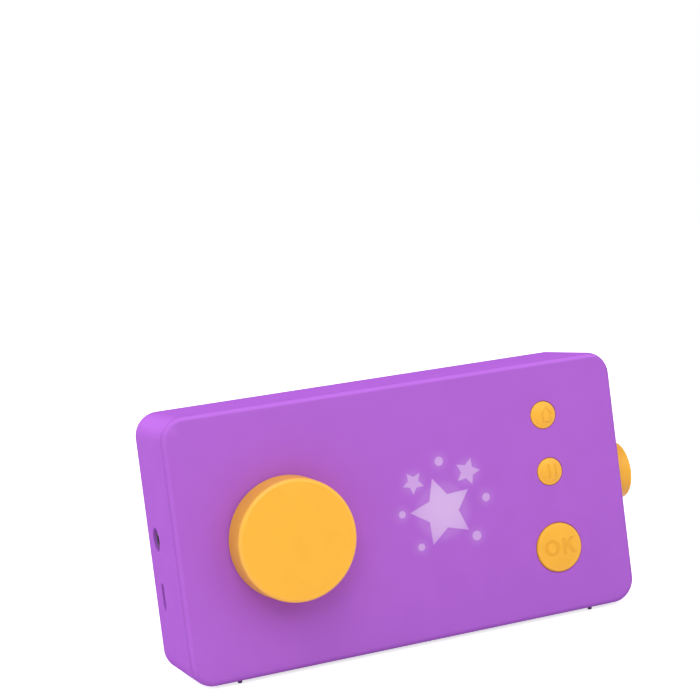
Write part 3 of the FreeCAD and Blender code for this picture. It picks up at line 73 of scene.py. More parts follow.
Pair = tuple[float, float]
Point = tuple[float, float, float]
Colour = tuple[float, float, float]


# ----------------------------------------------------------------------------- places and faces
class Facing(Enum):
    """Which way a form looks: its directions across, up and outwards."""

    FRONT = ((1, 0, 0), (0, 0, 1), (0, -1, 0))
    BACK = ((-1, 0, 0), (0, 0, 1), (0, 1, 0))
    RIGHT = ((0, 1, 0), (0, 0, 1), (1, 0, 0))
    LEFT = ((0, -1, 0), (0, 0, 1), (-1, 0, 0))
    DOWN = ((1, 0, 0), (0, -1, 0), (0, 0, -1))


@dataclass(frozen=True)
class Seat:
    """Where a form stands on the casing and the way it looks."""

    centre: Point
    facing: Facing

    def place(self, across: np.ndarray, up: np.ndarray, out: np.ndarray) -> np.ndarray:
        """Puts local coordinates into the part's axes.

        The formula is centre + across times the first direction + up times the second + out
        times the third.

        Args:
            across: Distances to the right of the centre.
            up: Distances above it.
            out: Distances outwards from it.

        Returns:
            Points with a last axis of x, y and z.
        """
        right, high, outward = np.array(self.facing.value, float)
        across, up, out = np.broadcast_arrays(across, up, out)
        return (np.array(self.centre) + across[..., None] * right
                + up[..., None] * high + out[..., None] * outward)


# ------------------------------------------------------------------------------------- profiles
def rounded(corners: Sequence[tuple[float, ...]], steps: int = 6) -> np.ndarray:
    """A profile of straight runs whose corners are arcs of their own radius.

    At a corner P with unit directions a and b to its neighbours and half the angle between
    them h, the arc's centre is P + unit(a + b) times radius / sin h. Its points turn from one
    foot of the arc to the other by spherical blending of the two radii.

    Args:
        corners: First and second coordinate of each corner, and its radius if it has one.
        steps: Divisions of each arc.

    Returns:
        The profile's points, one row each.
    """
    spots = np.array([corner[:2] for corner in corners], float)
    radii = [corner[2] if len(corner) > 2 else 0.0 for corner in corners]
    runs = [spots[:1]]
    share = np.linspace(0, 1, steps + 1)[:, None]
    for before, at, after, radius in zip(spots, spots[1:], spots[2:], radii[1:]):
        if radius <= 0:
            runs.append(at[None])
            continue
        a = (before - at) / np.linalg.norm(before - at)
        b = (after - at) / np.linalg.norm(after - at)
        half = math.acos(float(np.clip(a @ b, -1, 1))) / 2
        middle = at + (a + b) / np.linalg.norm(a + b) * radius / math.sin(half)
        run = radius / math.tan(half)
        first, last = at + a * run - middle, at + b * run - middle
        sweep = math.pi - 2 * half
        runs.append(middle + (np.sin((1 - share) * sweep) * first
                              + np.sin(share * sweep) * last) / math.sin(sweep))
    runs.append(spots[-1:])
    return np.concatenate(runs)


def flare(mouth: float, rim: float, steps: int = 5) -> np.ndarray:
    """How a cutter grows towards a face so that the hole that it leaves has a rounded rim.

    The growth is rim - rim cos t and the height is mouth - rim + rim sin t for t from 0 to a
    quarter turn, and then straight out past the face.

    Args:
        mouth: Height of the face that the hole opens in.
        rim: Radius of the rounded rim.
        steps: Divisions of the quarter turn.

    Returns:
        Rows of growth and height.
    """
    turn = np.linspace(0, math.pi / 2, steps + 1)
    arc = np.stack([rim - rim * np.cos(turn), mouth - rim + rim * np.sin(turn)], -1)
    return np.concatenate([arc, [[rim, mouth + OVERSHOOT]]])


def turned(profile: np.ndarray, seat: Seat, columns: int = 96) -> np.ndarray:
    """A profile of radius and height turned round the seat's axis.

    A point is radius cos t across, radius sin t up and its height out, for t round the circle.

    Args:
        profile: Rows of radius and height.
        seat: The axis.
        columns: Divisions of the circle.

    Returns:
        A grid of points, one row for each point of the profile.
    """
    turn = np.linspace(0, 2 * math.pi, columns, endpoint=False)
    radius, out = profile[:, :1], profile[:, 1:]
    return seat.place(radius * np.cos(turn), radius * np.sin(turn), out)


def carried(profile: np.ndarray, half: Pair, corner: float, seat: Seat,
            arc: int = 16, side: int = 6, least: float = 0.4) -> np.ndarray:
    """A profile of inset and height carried round a rounded rectangle.

    A row's rectangle is half minus the inset each way, with a corner radius of the corner
    minus the inset. Each quarter arc is its corner's centre plus radius (cos t, sin t), and
    the sides between the arcs are straight.

    Args:
        profile: Rows of inset and height.
        half: Half the width and half the height at no inset.
        corner: Corner radius at no inset.
        seat: Middle of the rectangle and the way it looks.
        arc: Divisions of each corner.
        side: Points on each straight side.
        least: Smallest corner radius that an inset may leave.

    Returns:
        A grid of points, one row for each point of the profile.
    """
    inset = profile[:, 0]
    radius = np.maximum(corner - inset, least)[:, None, None, None]
    turn = np.linspace(0, math.pi / 2, arc + 1) + math.pi / 2 * np.arange(4)[:, None]
    sign = np.array([(1, 1), (-1, 1), (-1, -1), (1, -1)], float)[None, :, None]
    reach = (np.array(half) - inset[:, None])[:, None, None] - radius
    arcs = sign * reach + radius * np.stack([np.cos(turn), np.sin(turn)], -1)[None]
    share = np.linspace(0, 1, side + 2)[1:-1, None]
    runs = (arcs[:, :, -1:] * (1 - share) + np.roll(arcs[:, :, :1], -1, axis=1) * share)
    loop = np.concatenate([arcs, runs], axis=2).reshape(len(profile), -1, 2)
    return seat.place(loop[..., 0], loop[..., 1], profile[:, 1:])


# --------------------------------------------------------------------------------------- meshes
def make_piece(name: str, grids: Sequence[np.ndarray],
               marks: Optional[dict[str, np.ndarray]] = None) -> bpy.types.Object:
    """A mesh of closed surfaces, each given as rows of points that run round it.

    Neighbouring rows are joined by four-sided faces. A first or last row with any width is
    closed by one flat face, and one that is a single spot becomes a pole.

    Args:
        name: Name of the piece.
        grids: Grids of points in millimetres.
        marks: Values at the points by attribute name, for all grids one after another.

    Returns:
        The piece, in metres, with faces that look outwards.
    """
    loops, starts, begun = [], [0], 0
    for grid in grids:
        rows, columns = grid.shape[:2]
        index = begun + np.arange(rows * columns).reshape(rows, columns)
        after = np.roll(index, -1, axis=1)
        quads = np.stack([index[:-1], after[:-1], after[1:], index[1:]], -1).reshape(-1)
        loops.append(quads)
        starts.extend([4] * (len(quads) // 4))
        for row, end in ((grid[0], index[0][::-1]), (grid[-1], index[-1])):
            if np.ptp(row, axis=0).max() > NO_WIDTH:
                loops.append(end)
                starts.append(columns)
        begun += rows * columns
    points = np.concatenate([grid.reshape(-1, 3) for grid in grids]) * MM
    corners = np.concatenate(loops)
    mesh = bpy.data.meshes.new(name)
    mesh.vertices.add(len(points))
    mesh.vertices.foreach_set("co", points.astype(np.float32).ravel())
    mesh.loops.add(len(corners))
    mesh.loops.foreach_set("vertex_index", corners.astype(np.int32))
    first = np.cumsum(starts)[:-1]
    mesh.polygons.add(len(first))
    mesh.polygons.foreach_set("loop_start", first.astype(np.int32))
    for mark, values in (marks or {}).items():
        mesh.attributes.new(mark, "FLOAT", "POINT").data.foreach_set(
            "value", values.astype(np.float32).ravel())
    mesh.update(calc_edges=True)
    piece = bpy.data.objects.new(name, mesh)
    bpy.context.scene.collection.objects.link(piece)
    close_up(piece)
    return piece


def close_up(piece: bpy.types.Object) -> None:
    """Merges a piece's doubled points and turns its faces outwards.

    Args:
        piece: The piece.
    """
    work = bmesh.new()
    work.from_mesh(piece.data)
    bmesh.ops.remove_doubles(work, verts=work.verts, dist=SAME_SPOT)
    bmesh.ops.recalc_face_normals(work, faces=work.faces)
    work.to_mesh(piece.data)
    work.free()


class Cut(Enum):
    """What another solid does to a piece."""

    JOIN = "UNION"
    TAKE_AWAY = "DIFFERENCE"


def carve(piece: bpy.types.Object, grids: Sequence[np.ndarray], how: Cut) -> None:
    """Joins solids to a piece or takes them away, and keeps the outcome as the piece's mesh.

    Args:
        piece: The piece.
        grids: Closed surfaces of the other solids, clear of each other.
        how: Join or take away.
    """
    tool = make_piece(f"{piece.name}_tool", grids)
    step = piece.modifiers.new("carve", "BOOLEAN")
    step.operation, step.solver, step.object = how.value, "EXACT", tool
    bpy.context.view_layer.update()
    seen = piece.evaluated_get(bpy.context.evaluated_depsgraph_get())
    made, old = bpy.data.meshes.new_from_object(seen), piece.data
    piece.modifiers.clear()
    piece.data = made
    made.name = piece.name
    bpy.data.meshes.remove(old)
    spent = tool.data
    bpy.data.objects.remove(tool)
    bpy.data.meshes.remove(spent)


def coat(piece: bpy.types.Object, material: bpy.types.Material) -> None:
    """Makes a material the only one of a piece."""
    piece.data.materials.clear()
    piece.data.materials.append(material)


def settle(piece: bpy.types.Object, body: str, slot: str, *nodes: str) -> None:
    """Smooths a piece, gives it its body, and lets it stand for CAD nodes.

    Args:
        piece: The finished piece.
        body: Body that it rides on.
        slot: The record's material slot; not used.
        *nodes: CAD nodes that it replaces.
    """
    piece.data.shade_smooth()
    piece.data.set_sharp_from_angle(angle=SHARP_ANGLE)
    normal = piece.modifiers.new("even_shading", "WEIGHTED_NORMAL")
    normal.keep_sharp, normal.weight = True, FACE_WEIGHT
    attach(piece, body)
    if nodes:
        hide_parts(*nodes)
    log.info("%s: %d faces on %s", piece.name, len(piece.data.polygons), body)


# -------------------------------------------------------------------------- node fields and inks
Number = Union["Field", float]
Ink = Union[Colour, bpy.types.NodeSocket]


class Nodes:
    """A node tree with short ways to add and link its nodes."""

    def __init__(self, tree: bpy.types.NodeTree) -> None:
        """Keeps the tree and empties it."""
        self.tree = tree
        tree.nodes.clear()

    def add(self, kind: str, **settings: object) -> bpy.types.Node:
        """Adds a node.

        Args:
            kind: The node's type.
            **settings: Its own properties by name.

        Returns:
            The node.
        """
        node = self.tree.nodes.new(kind)
        for name, setting in settings.items():
            setattr(node, name, setting)
        return node

    def feed(self, socket: bpy.types.NodeSocket, source: object) -> None:
        """Links a field or socket to an input, or writes a plain value into it.

        Args:
            socket: The input.
            source: The field, socket or value that it takes.
        """
        if isinstance(source, Field):
            source = source.socket
        if isinstance(source, bpy.types.NodeSocket):
            self.tree.links.new(source, socket)
        else:
            socket.default_value = source

    def math(self, operation: str, *inputs: object) -> "Field":
        """The outcome of one math node.

        Args:
            operation: What the node does.
            *inputs: Fields, sockets or numbers in the node's order.

        Returns:
            The outcome as a field.
        """
        node = self.add("ShaderNodeMath", operation=operation)
        for socket, source in zip(node.inputs, inputs):
            self.feed(socket, source)
        return Field(self, node.outputs[0])

    def seen(self) -> "Field":
        """Tells what is looked at from what is only lit.

        Returns:
            1 for rays of the camera, of reflections and through glass, and 0 for the rest.
        """
        rays = self.add("ShaderNodeLightPath").outputs
        total = Field(self, rays["Is Camera Ray"])
        for name in ("Is Glossy Ray", "Is Transmission Ray"):
            total = self.math("MAXIMUM", total, rays[name])
        return total


class Graph(Nodes):
    """The nodes of a material round one shader, with patterns sized in millimetres."""

    def __init__(self, name: str) -> None:
        """Starts a material that holds only its shader and its output.

        Args:
            name: Name of the material.
        """
        self.material = bpy.data.materials.new(name)
        self.material.use_nodes = True
        super().__init__(self.material.node_tree)
        self.shader = self.add("ShaderNodeBsdfPrincipled")
        output = self.add("ShaderNodeOutputMaterial")
        self.feed(output.inputs["Surface"], self.shader.outputs["BSDF"])
        self.here = self.add("ShaderNodeTexCoord").outputs["Object"]

    def axes(self) -> list["Field"]:
        """The object's own coordinates in millimetres.

        Returns:
            Fields of x, y and z.
        """
        node = self.add("ShaderNodeSeparateXYZ")
        self.feed(node.inputs[0], self.here)
        return [Field(self, out) * MM_PER_METRE for out in node.outputs]

    def stretched(self, across: float, deep: float, up: float) -> bpy.types.NodeSocket:
        """Object coordinates stretched by a Mapping node.

        Args:
            across: Scale along X.
            deep: Scale along Y.
            up: Scale along Z.

        Returns:
            The stretched coordinates.
        """
        node = self.add("ShaderNodeMapping")
        self.feed(node.inputs["Vector"], self.here)
        node.inputs["Scale"].default_value = (across, deep, up)
        return node.outputs[0]

    def texture(self, kind: str, size: float,
                vector: Optional[bpy.types.NodeSocket]) -> bpy.types.Node:
        """Adds a texture node.

        Args:
            kind: The node's type.
            size: How large its pattern is, in millimetres.
            vector: Coordinates that it reads, if not the object's own.

        Returns:
            The node.
        """
        node = self.add(kind)
        self.feed(node.inputs["Vector"], vector or self.here)
        node.inputs["Scale"].default_value = MM_PER_METRE / size
        return node

    def noise(self, size: float, detail: float = 2.0,
              vector: Optional[bpy.types.NodeSocket] = None) -> "Field":
        """Noise from 0 to 1.

        Args:
            size: How large its blotches are, in millimetres.
            detail: How many finer layers it has.
            vector: Coordinates that it reads, if not the object's own.

        Returns:
            The noise.
        """
        node = self.texture("ShaderNodeTexNoise", size, vector)
        node.inputs["Detail"].default_value = detail
        return Field(self, node.outputs[0])

    def cells(self, size: float, vector: Optional[bpy.types.NodeSocket] = None) -> "Field":
        """Distance from the middle of cells about size millimetres across."""
        node = self.texture("ShaderNodeTexVoronoi", size, vector)
        return Field(self, node.outputs["Distance"])

    def mark(self, name: str) -> "Field":
        """A value that the mesh holds at its points."""
        return Field(self, self.add("ShaderNodeAttribute", attribute_name=name).outputs["Fac"])

    def blend(self, share: Number, first: Ink, second: Ink) -> bpy.types.NodeSocket:
        """A colour between two.

        Args:
            share: How much of the second there is, from 0 to 1.
            first: First colour or its socket.
            second: Second colour or its socket.

        Returns:
            The colour's socket.
        """
        node = self.add("ShaderNodeMix", data_type="RGBA")
        self.feed(node.inputs[0], share)
        for socket, colour in ((node.inputs[6], first), (node.inputs[7], second)):
            self.feed(socket, (*colour, 1.0) if isinstance(colour, tuple) else colour)
        return node.outputs[2]

    def bump(self, height: Number, relief: float) -> None:
        """Raises the surface.

        Args:
            height: How far each point rises, from 0 to 1.
            relief: The height of 1 in millimetres.
        """
        node = self.add("ShaderNodeBump")
        node.inputs["Distance"].default_value = relief * MM
        node.inputs["Strength"].default_value = 1.0
        self.feed(node.inputs["Height"], height)
        self.feed(self.shader.inputs["Normal"], node.outputs[0])


class Field:
    """A number that varies over a surface, with arithmetic made of math nodes."""

    def __init__(self, graph: Nodes, socket: bpy.types.NodeSocket) -> None:
        """Keeps the graph and the socket that gives the number."""
        self.graph, self.socket = graph, socket

    def __add__(self, other: Number) -> "Field":
        """This plus other."""
        return self.graph.math("ADD", self, other)

    def __sub__(self, other: Number) -> "Field":
        """This less other."""
        return self.graph.math("SUBTRACT", self, other)

    def __rsub__(self, other: Number) -> "Field":
        """Other less this."""
        return self.graph.math("SUBTRACT", other, self)

    def __mul__(self, other: Number) -> "Field":
        """This times other."""
        return self.graph.math("MULTIPLY", self, other)

    __radd__, __rmul__ = __add__, __mul__

    def least(self, other: Number) -> "Field":
        """The smaller of two."""
        return self.graph.math("MINIMUM", self, other)

    def most(self, other: Number) -> "Field":
        """The larger of two."""
        return self.graph.math("MAXIMUM", self, other)

    def length(self, other: "Field") -> "Field":
        """The root of this squared plus other squared."""
        return self.graph.math("SQRT", self * self + other * other)

    def ramp(self, low: float, high: float, least: float = 0.0, shape: str = "LINEAR") -> "Field":
        """A value that climbs to 1 and stays level beyond both ends.

        Args:
            low: Where the climb starts.
            high: Where it ends.
            least: The value at its start.
            shape: How the node goes between them.

        Returns:
            The value.
        """
        node = self.graph.add("ShaderNodeMapRange", interpolation_type=shape)
        self.graph.feed(node.inputs["Value"], self)
        for name, setting in (("From Min", low), ("From Max", high), ("To Min", least)):
            node.inputs[name].default_value = setting
        return Field(self.graph, node.outputs["Result"])

    def rise(self, low: float, high: float) -> "Field":
        """A smooth step, which goes down where high is below low.

        Args:
            low: Where it is 0.
            high: Where it is 1.

        Returns:
            The step.
        """
        if high < low:
            return 1.0 - self.rise(high, low)
        return self.ramp(low, high, shape="SMOOTHSTEP")


# ------------------------------------------------------------------------------------- finishes
class Pattern(Enum):
    """What the surface of a finish is like close to."""

    MOULDED = "fine spark grain of a steel mould"
    RUBBER = "dull skin with specks"
    BRUSHED = "long fine scratches"
    TURNED = "plated and lightly scuffed"
    PAINTED = "thin paint with orange peel"
    FOIL = "soft creases of a foil pouch"
    FOAM = "open cells"
    TRACES = "solder mask over copper tracks"
    FILM = "copper lines in a thin film"
    WOUND = "turns of wire"
    FIBRES = "pressed paper fibres"
    GROUND = "sintered and ground"
    CLEAR = "clear and faintly hazy"
    GRID = "dark glass over rows of dots"


@dataclass(frozen=True)
class Finish:
    """One finish: two colours that its pattern mixes, its gloss and its relief."""

    name: str
    pattern: Pattern
    colour: Colour
    second: Colour
    gloss: Pair
    size: float
    relief: float
    metal: float = 0.0
    clear: float = 0.0
    shine: float = 0.5

    def surface(self, graph: Graph) -> tuple[Field, Field]:
        """Works out the pattern.

        Sizes are in millimetres. The two numbers of a step are the values between which it
        goes, and the shares of what is added up make 1.

        Args:
            graph: The material's nodes.

        Returns:
            How much of the second colour shows, and the height, both from 0 to 1.
        """
        x, y, z = graph.axes()
        blotch = graph.noise(9.0 * self.size)
        if self.pattern is Pattern.BRUSHED:
            lines = graph.noise(0.35 * self.size, 4.0, graph.stretched(0.06, 1.0, 1.0))
            return lines.rise(0.3, 0.75) * 0.7 + blotch * 0.3, lines
        if self.pattern is Pattern.TURNED:
            scuffs = graph.noise(0.25 * self.size, 3.0, graph.stretched(1.0, 0.2, 1.0))
            return blotch.rise(0.4, 0.7) * 0.6 + scuffs * 0.4, scuffs
        if self.pattern is Pattern.FOIL:
            crease = graph.cells(5.0 * self.size, graph.stretched(1.0, 1.0, 0.55))
            return crease.rise(0.1, 0.7) * 0.5 + blotch * 0.5, crease.rise(0.0, 0.8)
        if self.pattern is Pattern.FOAM:
            cell = graph.cells(0.45 * self.size)
            return cell.rise(0.2, 0.6), cell.rise(0.55, 0.1)
        if self.pattern is Pattern.TRACES:
            run = graph.math("PINGPONG", x + z * 0.5 + blotch * 9.0, 0.8)
            track = run.rise(0.32, 0.24) * graph.noise(7.0, 0.0).rise(0.42, 0.5)
            dot = graph.cells(3.2).rise(0.13, 0.1)
            return track.most(dot) * 0.85 + blotch * 0.15, track.most(dot)
        if self.pattern is Pattern.FILM:
            line = graph.math("PINGPONG", x, 0.5).rise(0.3, 0.2)
            return line * 0.8 + blotch * 0.2, line
        if self.pattern is Pattern.WOUND:
            turn = graph.math("PINGPONG", y, 0.12 * self.size) * (8.0 / self.size)
            return turn * 0.8 + blotch * 0.2, turn
        if self.pattern is Pattern.FIBRES:
            hair = graph.noise(0.5 * self.size, 5.0, graph.stretched(1.0, 1.0, 0.3))
            return hair.rise(0.35, 0.7), hair
        if self.pattern is Pattern.GRID:
            dots = graph.math("PINGPONG", x, 0.15).most(graph.math("PINGPONG", z, 0.15))
            return dots.rise(0.11, 0.14) * 0.4 + blotch * 0.2, dots
        fine = graph.noise(0.3 * self.size, 3.0)
        if self.pattern is Pattern.RUBBER:
            return fine.rise(0.55, 0.75) * 0.7 + blotch * 0.3, fine
        if self.pattern is Pattern.PAINTED:
            return blotch.rise(0.3, 0.8), graph.noise(0.9 * self.size, 1.0)
        return blotch.rise(0.3, 0.7) * 0.7 + fine * 0.3, fine * 0.7 + blotch * 0.3

    def paint(self, graph: Graph, colour: Ink, second: Ink, height: Field, share: Field,
              wear: Optional[Field] = None) -> bpy.types.Material:
        """Writes colour, gloss and relief into the shader.

        Args:
            graph: The material's nodes.
            colour: Main colour or its socket.
            second: The colour or socket that the pattern mixes in.
            height: Relief from 0 to 1.
            share: How much of the second colour shows.
            wear: Where handling has polished the surface, if anywhere.

        Returns:
            The finished material.
        """
        shader = graph.shader.inputs
        graph.feed(shader["Base Color"], graph.blend(share, colour, second))
        smooth, dull = self.gloss
        rough = (share * 0.4 + height * 0.6) * (dull - smooth) + smooth
        graph.feed(shader["Roughness"], rough - wear * POLISH if wear else rough)
        shader["Metallic"].default_value = self.metal
        shader["Transmission Weight"].default_value = self.clear
        shader["Specular IOR Level"].default_value = self.shine
        if self.relief:
            graph.bump(height, self.relief)
        return graph.material

    def material(self) -> bpy.types.Material:
        """Makes this finish as a material on its own.

        Returns:
            The material.
        """
        graph = Graph(self.name)
        share, height = self.surface(graph)
        return self.paint(graph, self.colour, self.second, height, share)


CASING = Finish("casing_plastic", Pattern.MOULDED, (0.414, 0.130, 0.604), (0.430, 0.136, 0.624),
                (0.44, 0.54), 1.3, 0.006, shine=0.0)
# painted highlight: paler purple painted on the rounded edges, the top and the upper corner
CASING_HIGHLIGHT_PAINT = (0.520, 0.168, 0.740)
CONTROL = Finish("control_plastic", Pattern.MOULDED, (0.880, 0.436, 0.016), (0.925, 0.464, 0.022),
                 (0.40, 0.50), 1.1, 0.006)
CONTROL_SUNK = ((0.800, 0.374, 0.008), (0.835, 0.396, 0.010))
# painted highlight: paler yellow painted on the rounded rims of the knobs and buttons
CONTROL_RIM_HIGHLIGHT = ((0.955, 0.485, 0.045), (0.985, 0.505, 0.050))
FOOT = Finish("foot_rubber", Pattern.RUBBER, (0.135, 0.062, 0.175), (0.180, 0.095, 0.225),
              (0.72, 0.88), 1.0, 0.02)
INNER = (
    Finish("screw_steel", Pattern.TURNED, (0.30, 0.30, 0.31), (0.20, 0.20, 0.17),
           (0.26, 0.45), 0.8, 0.01, 1.0),
    Finish("sheet_steel", Pattern.BRUSHED, (0.52, 0.52, 0.54), (0.38, 0.38, 0.41),
           (0.24, 0.42), 1.0, 0.006, 1.0),
    Finish("control_metal", Pattern.TURNED, (0.44, 0.43, 0.40), (0.33, 0.33, 0.33),
           (0.20, 0.38), 0.8, 0.006, 1.0),
    Finish("circuit_board", Pattern.TRACES, (0.004, 0.066, 0.022), (0.045, 0.19, 0.060),
           (0.34, 0.48), 1.0, 0.03),
    Finish("black_plastic", Pattern.MOULDED, (0.004, 0.004, 0.0045), (0.010, 0.010, 0.011),
           (0.50, 0.66), 0.8, 0.012),
    Finish("connector_plastic", Pattern.MOULDED, (0.70, 0.68, 0.59), (0.77, 0.75, 0.67),
           (0.42, 0.54), 0.8, 0.01),
    Finish("clear_plastic", Pattern.CLEAR, (0.86, 0.84, 0.92), (0.90, 0.89, 0.94),
           (0.08, 0.16), 1.5, 0.004, 0.0, 0.9),
    Finish("screen_glass", Pattern.GRID, (0.0022, 0.0022, 0.004), (0.012, 0.012, 0.020),
           (0.06, 0.12), 1.0, 0.0),
    Finish("cable_film", Pattern.FILM, (0.40, 0.13, 0.010), (0.62, 0.27, 0.06),
           (0.28, 0.40), 1.0, 0.02),
    Finish("plunger_plastic", Pattern.MOULDED, (0.012, 0.012, 0.014), (0.022, 0.022, 0.024),
           (0.42, 0.58), 0.6, 0.01),
    Finish("battery_foil", Pattern.FOIL, (0.34, 0.39, 0.45), (0.46, 0.50, 0.54),
           (0.28, 0.46), 1.0, 0.12, 0.85),
    Finish("foam", Pattern.FOAM, (0.016, 0.016, 0.018), (0.004, 0.004, 0.005),
           (0.82, 0.95), 1.0, 0.12),
    Finish("speaker_steel", Pattern.PAINTED, (0.018, 0.018, 0.020), (0.030, 0.030, 0.033),
           (0.30, 0.44), 1.0, 0.02),
    Finish("magnet", Pattern.GROUND, (0.040, 0.040, 0.043), (0.065, 0.064, 0.064),
           (0.48, 0.66), 0.7, 0.02, 0.3),
    Finish("cone_paper", Pattern.FIBRES, (0.012, 0.011, 0.011), (0.034, 0.030, 0.028),
           (0.78, 0.92), 1.0, 0.05),
    Finish("coil_copper", Pattern.WOUND, (0.48, 0.16, 0.05), (0.24, 0.065, 0.02),
           (0.26, 0.40), 1.0, 0.05, 1.0),
    Finish("wire_insulation", Pattern.MOULDED, (0.34, 0.006, 0.006), (0.40, 0.012, 0.010),
           (0.34, 0.46), 0.5, 0.006))


# --------------------------------------------------------------------------------------- casing
@dataclass(frozen=True)
class Posts:
    """Screw posts of one kind in the front shell, with the bores that their screws cut."""

    spots: tuple[Pair, ...]
    radius: float
    end: float
    bore: float
    bored: Pair


@dataclass
class Casing:
    """Front shell and rear cover, two moulded halves held by four screws.

    Heights, ends and spans run towards the front from mid-depth. Spots are across and up, on a
    side wall deep and up, and on the underside across and deep. A cap is the inset at which a
    wall's outer and inner faces each become one flat face.
    """

    width: float = 160.0
    height: float = 87.0
    middle: float = 44.7
    underside: float = 1.2
    front: float = 18.0
    back: float = -18.0
    wall: float = 2.0
    corner: float = 8.0
    back_edge: float = 3.0
    front_cap: float = 6.0
    back_cap: float = 9.0
    # rounding round the front face, and the fine groove in it with its turn in degrees
    front_edge: float = 2.0
    groove_turn: float = 34.0
    groove_spread: float = 3.0
    groove_depth: float = 0.12
    # seam, and the lip that keeps the cover in line
    shell_end: float = -12.05
    cover_start: float = -12.15
    lip: Pair = (2.1, 3.3)
    lip_end: float = -9.7
    # screws and the front shell's posts for the cover, the control board and the main board
    screws: tuple[Pair, ...] = ((71, 10.2), (71, 79.2), (-71, 10.2), (-71, 79.2))
    posts: tuple[Posts, ...] = (
        Posts(screws, 4.0, -9.0, 1.55, (-10.0, 0.4)),
        Posts(((-60, 16.2), (-60, 73.2), (35, 16.2), (35, 73.2), (61.5, 60.2), (61.5, 37.2)),
              2.7, 10.6, 1.15, (9.0, 14.4)),
        Posts(((-73.2, 20.2), (-73.2, 62.2), (-19.2, 20.2), (-19.2, 62.2)),
              2.7, -0.8, 1.15, (-2.0, 3.0)))
    # openings of the front shell
    button_across: float = 52.75
    buttons: tuple[Pair, ...] = ((69.6, 4.65), (50.2, 4.65), (24.1, 8.4))
    button_gap: float = 0.13
    selector: Pair = (-42.5, 44.3)
    volume: Pair = (0.0, 44.0)
    bushing_hole: float = 3.65
    jack: Pair = (5.4, 47.4)
    jack_hole: float = 3.9
    slot: Pair = (5.4, 28.3)
    slot_half: Pair = (1.7, 4.6)
    display: Pair = (13.1, 45.3)
    window: float = 19.5
    window_skin: float = 0.8
    feet: tuple[Pair, ...] = ((-63.5, -14), (63.5, -14), (-63.5, 9), (63.5, 9))
    foot_hole: float = 0.85
    foot_seat: float = 0.8
    # the cover's screw posts and deep screw holes
    cover_post: float = 4.4
    cover_post_end: float = -9.0
    screw_hole: float = 1.7
    screw_span: Pair = (-12.5, -8.0)
    head_hole: float = 3.2
    head_seat: float = 12.0
    # loudspeaker: seat ring, posts and sound holes
    speaker: Pair = (32.0, 44.7)
    ring: Pair = (20.3, 21.7)
    ring_end: float = -14.0
    speaker_post_out: float = 22.9
    speaker_post_turns: tuple[float, ...] = (90, 210, 330)
    speaker_post: float = 2.5
    speaker_post_end: float = -13.8
    speaker_bore: float = 1.15
    speaker_bored: Pair = (-17.4, -13.0)
    sound_hole: float = 0.9
    sound_pitch: float = 3.6
    sound_rings: tuple[int, ...] = (1, 2, 3)
    # fence round the battery
    battery: Pair = (-38.0, 44.7)
    fence_half: Pair = (27.8, 18.8)
    fence_corner: float = 3.8
    fence_wall: float = 1.4
    fence_end: float = -12.0
    # where handling smooths the gloss, and the painted highlight that makes the rounded edges
    # paler, the top most and the upper corner too: spans out on the rounded edges, and shares
    worn: Pair = (0.3, 1.4)
    worn_patches: Pair = (0.35, 0.6)
    highlight_side: Pair = (0.0, 0.6)
    highlight_front: Pair = (1.1, 1.7)
    highlight_top: Pair = (0.0, 6.0)
    highlight_below: float = 0.4
    highlight_corner: Pair = (1.0, 5.5)
    corner_highlight_share: float = 0.6

    def seat(self, spot: Pair) -> Seat:
        """A seat at mid-depth that looks forwards."""
        return Seat((spot[0], 0, spot[1]), Facing.FRONT)

    def round_it(self, profile: np.ndarray) -> np.ndarray:
        """A profile of inset and height carried round the casing's outline."""
        return carried(profile, (self.width / 2, self.height / 2), self.corner,
                       self.seat((0, self.middle)), arc=20, side=10)

    def front_arc(self, steps: int = 60) -> np.ndarray:
        """The front edge's rounding with a fine groove in it.

        Inset is edge - r cos t and height is front - edge + r sin t for t from 0 to a quarter
        turn, where r is the edge's radius less the groove's depth times
        exp(-((t - groove turn) / groove spread) squared).

        Args:
            steps: Divisions of the quarter turn.

        Returns:
            Rows of inset and height.
        """
        turn = np.linspace(0, math.pi / 2, steps + 1)
        off = (turn - math.radians(self.groove_turn)) / math.radians(self.groove_spread)
        radius = self.front_edge - self.groove_depth * np.exp(-off ** 2)
        return np.stack([self.front_edge - radius * np.cos(turn),
                         self.front - self.front_edge + radius * np.sin(turn)], -1)

    def stud(self, at: Pair, radius: float, low: float, high: float,
             columns: int = 40) -> np.ndarray:
        """A plain round rod along the depth of the casing.

        Args:
            at: Its axis.
            radius: Its radius.
            low: Height of its rear end.
            high: Height of its front end.
            columns: Divisions of its circle.

        Returns:
            A closed grid of points.
        """
        rod = np.array([(0, low), (radius, low), (radius, high), (0, high)], float)
        return turned(rod, self.seat(at), columns)

    def hole(self, at: Pair, radius: float, low: float, mouth: float, rim: float,
             facing: Facing = Facing.FRONT, columns: int = 96) -> np.ndarray:
        """A round cutter that leaves a hole with a rounded rim.

        Args:
            at: The hole's axis, in the two coordinates of the face that it opens in.
            radius: Its radius.
            low: Height of its bottom along the way that it faces.
            mouth: Height of the face that it opens in.
            rim: Radius of its rounded rim.
            facing: The way that it opens.
            columns: Divisions of its circle.

        Returns:
            A closed grid of points.
        """
        grown = flare(mouth, rim) + (radius, 0)
        profile = np.concatenate([[(0, low), (radius, low)], grown, [(0, mouth + OVERSHOOT)]])
        if facing in (Facing.FRONT, Facing.BACK):
            centre = (at[0], 0, at[1])
        elif facing is Facing.DOWN:
            centre = (*at, 0)
        else:
            centre = (0, *at)
        return turned(profile, Seat(centre, facing), columns)

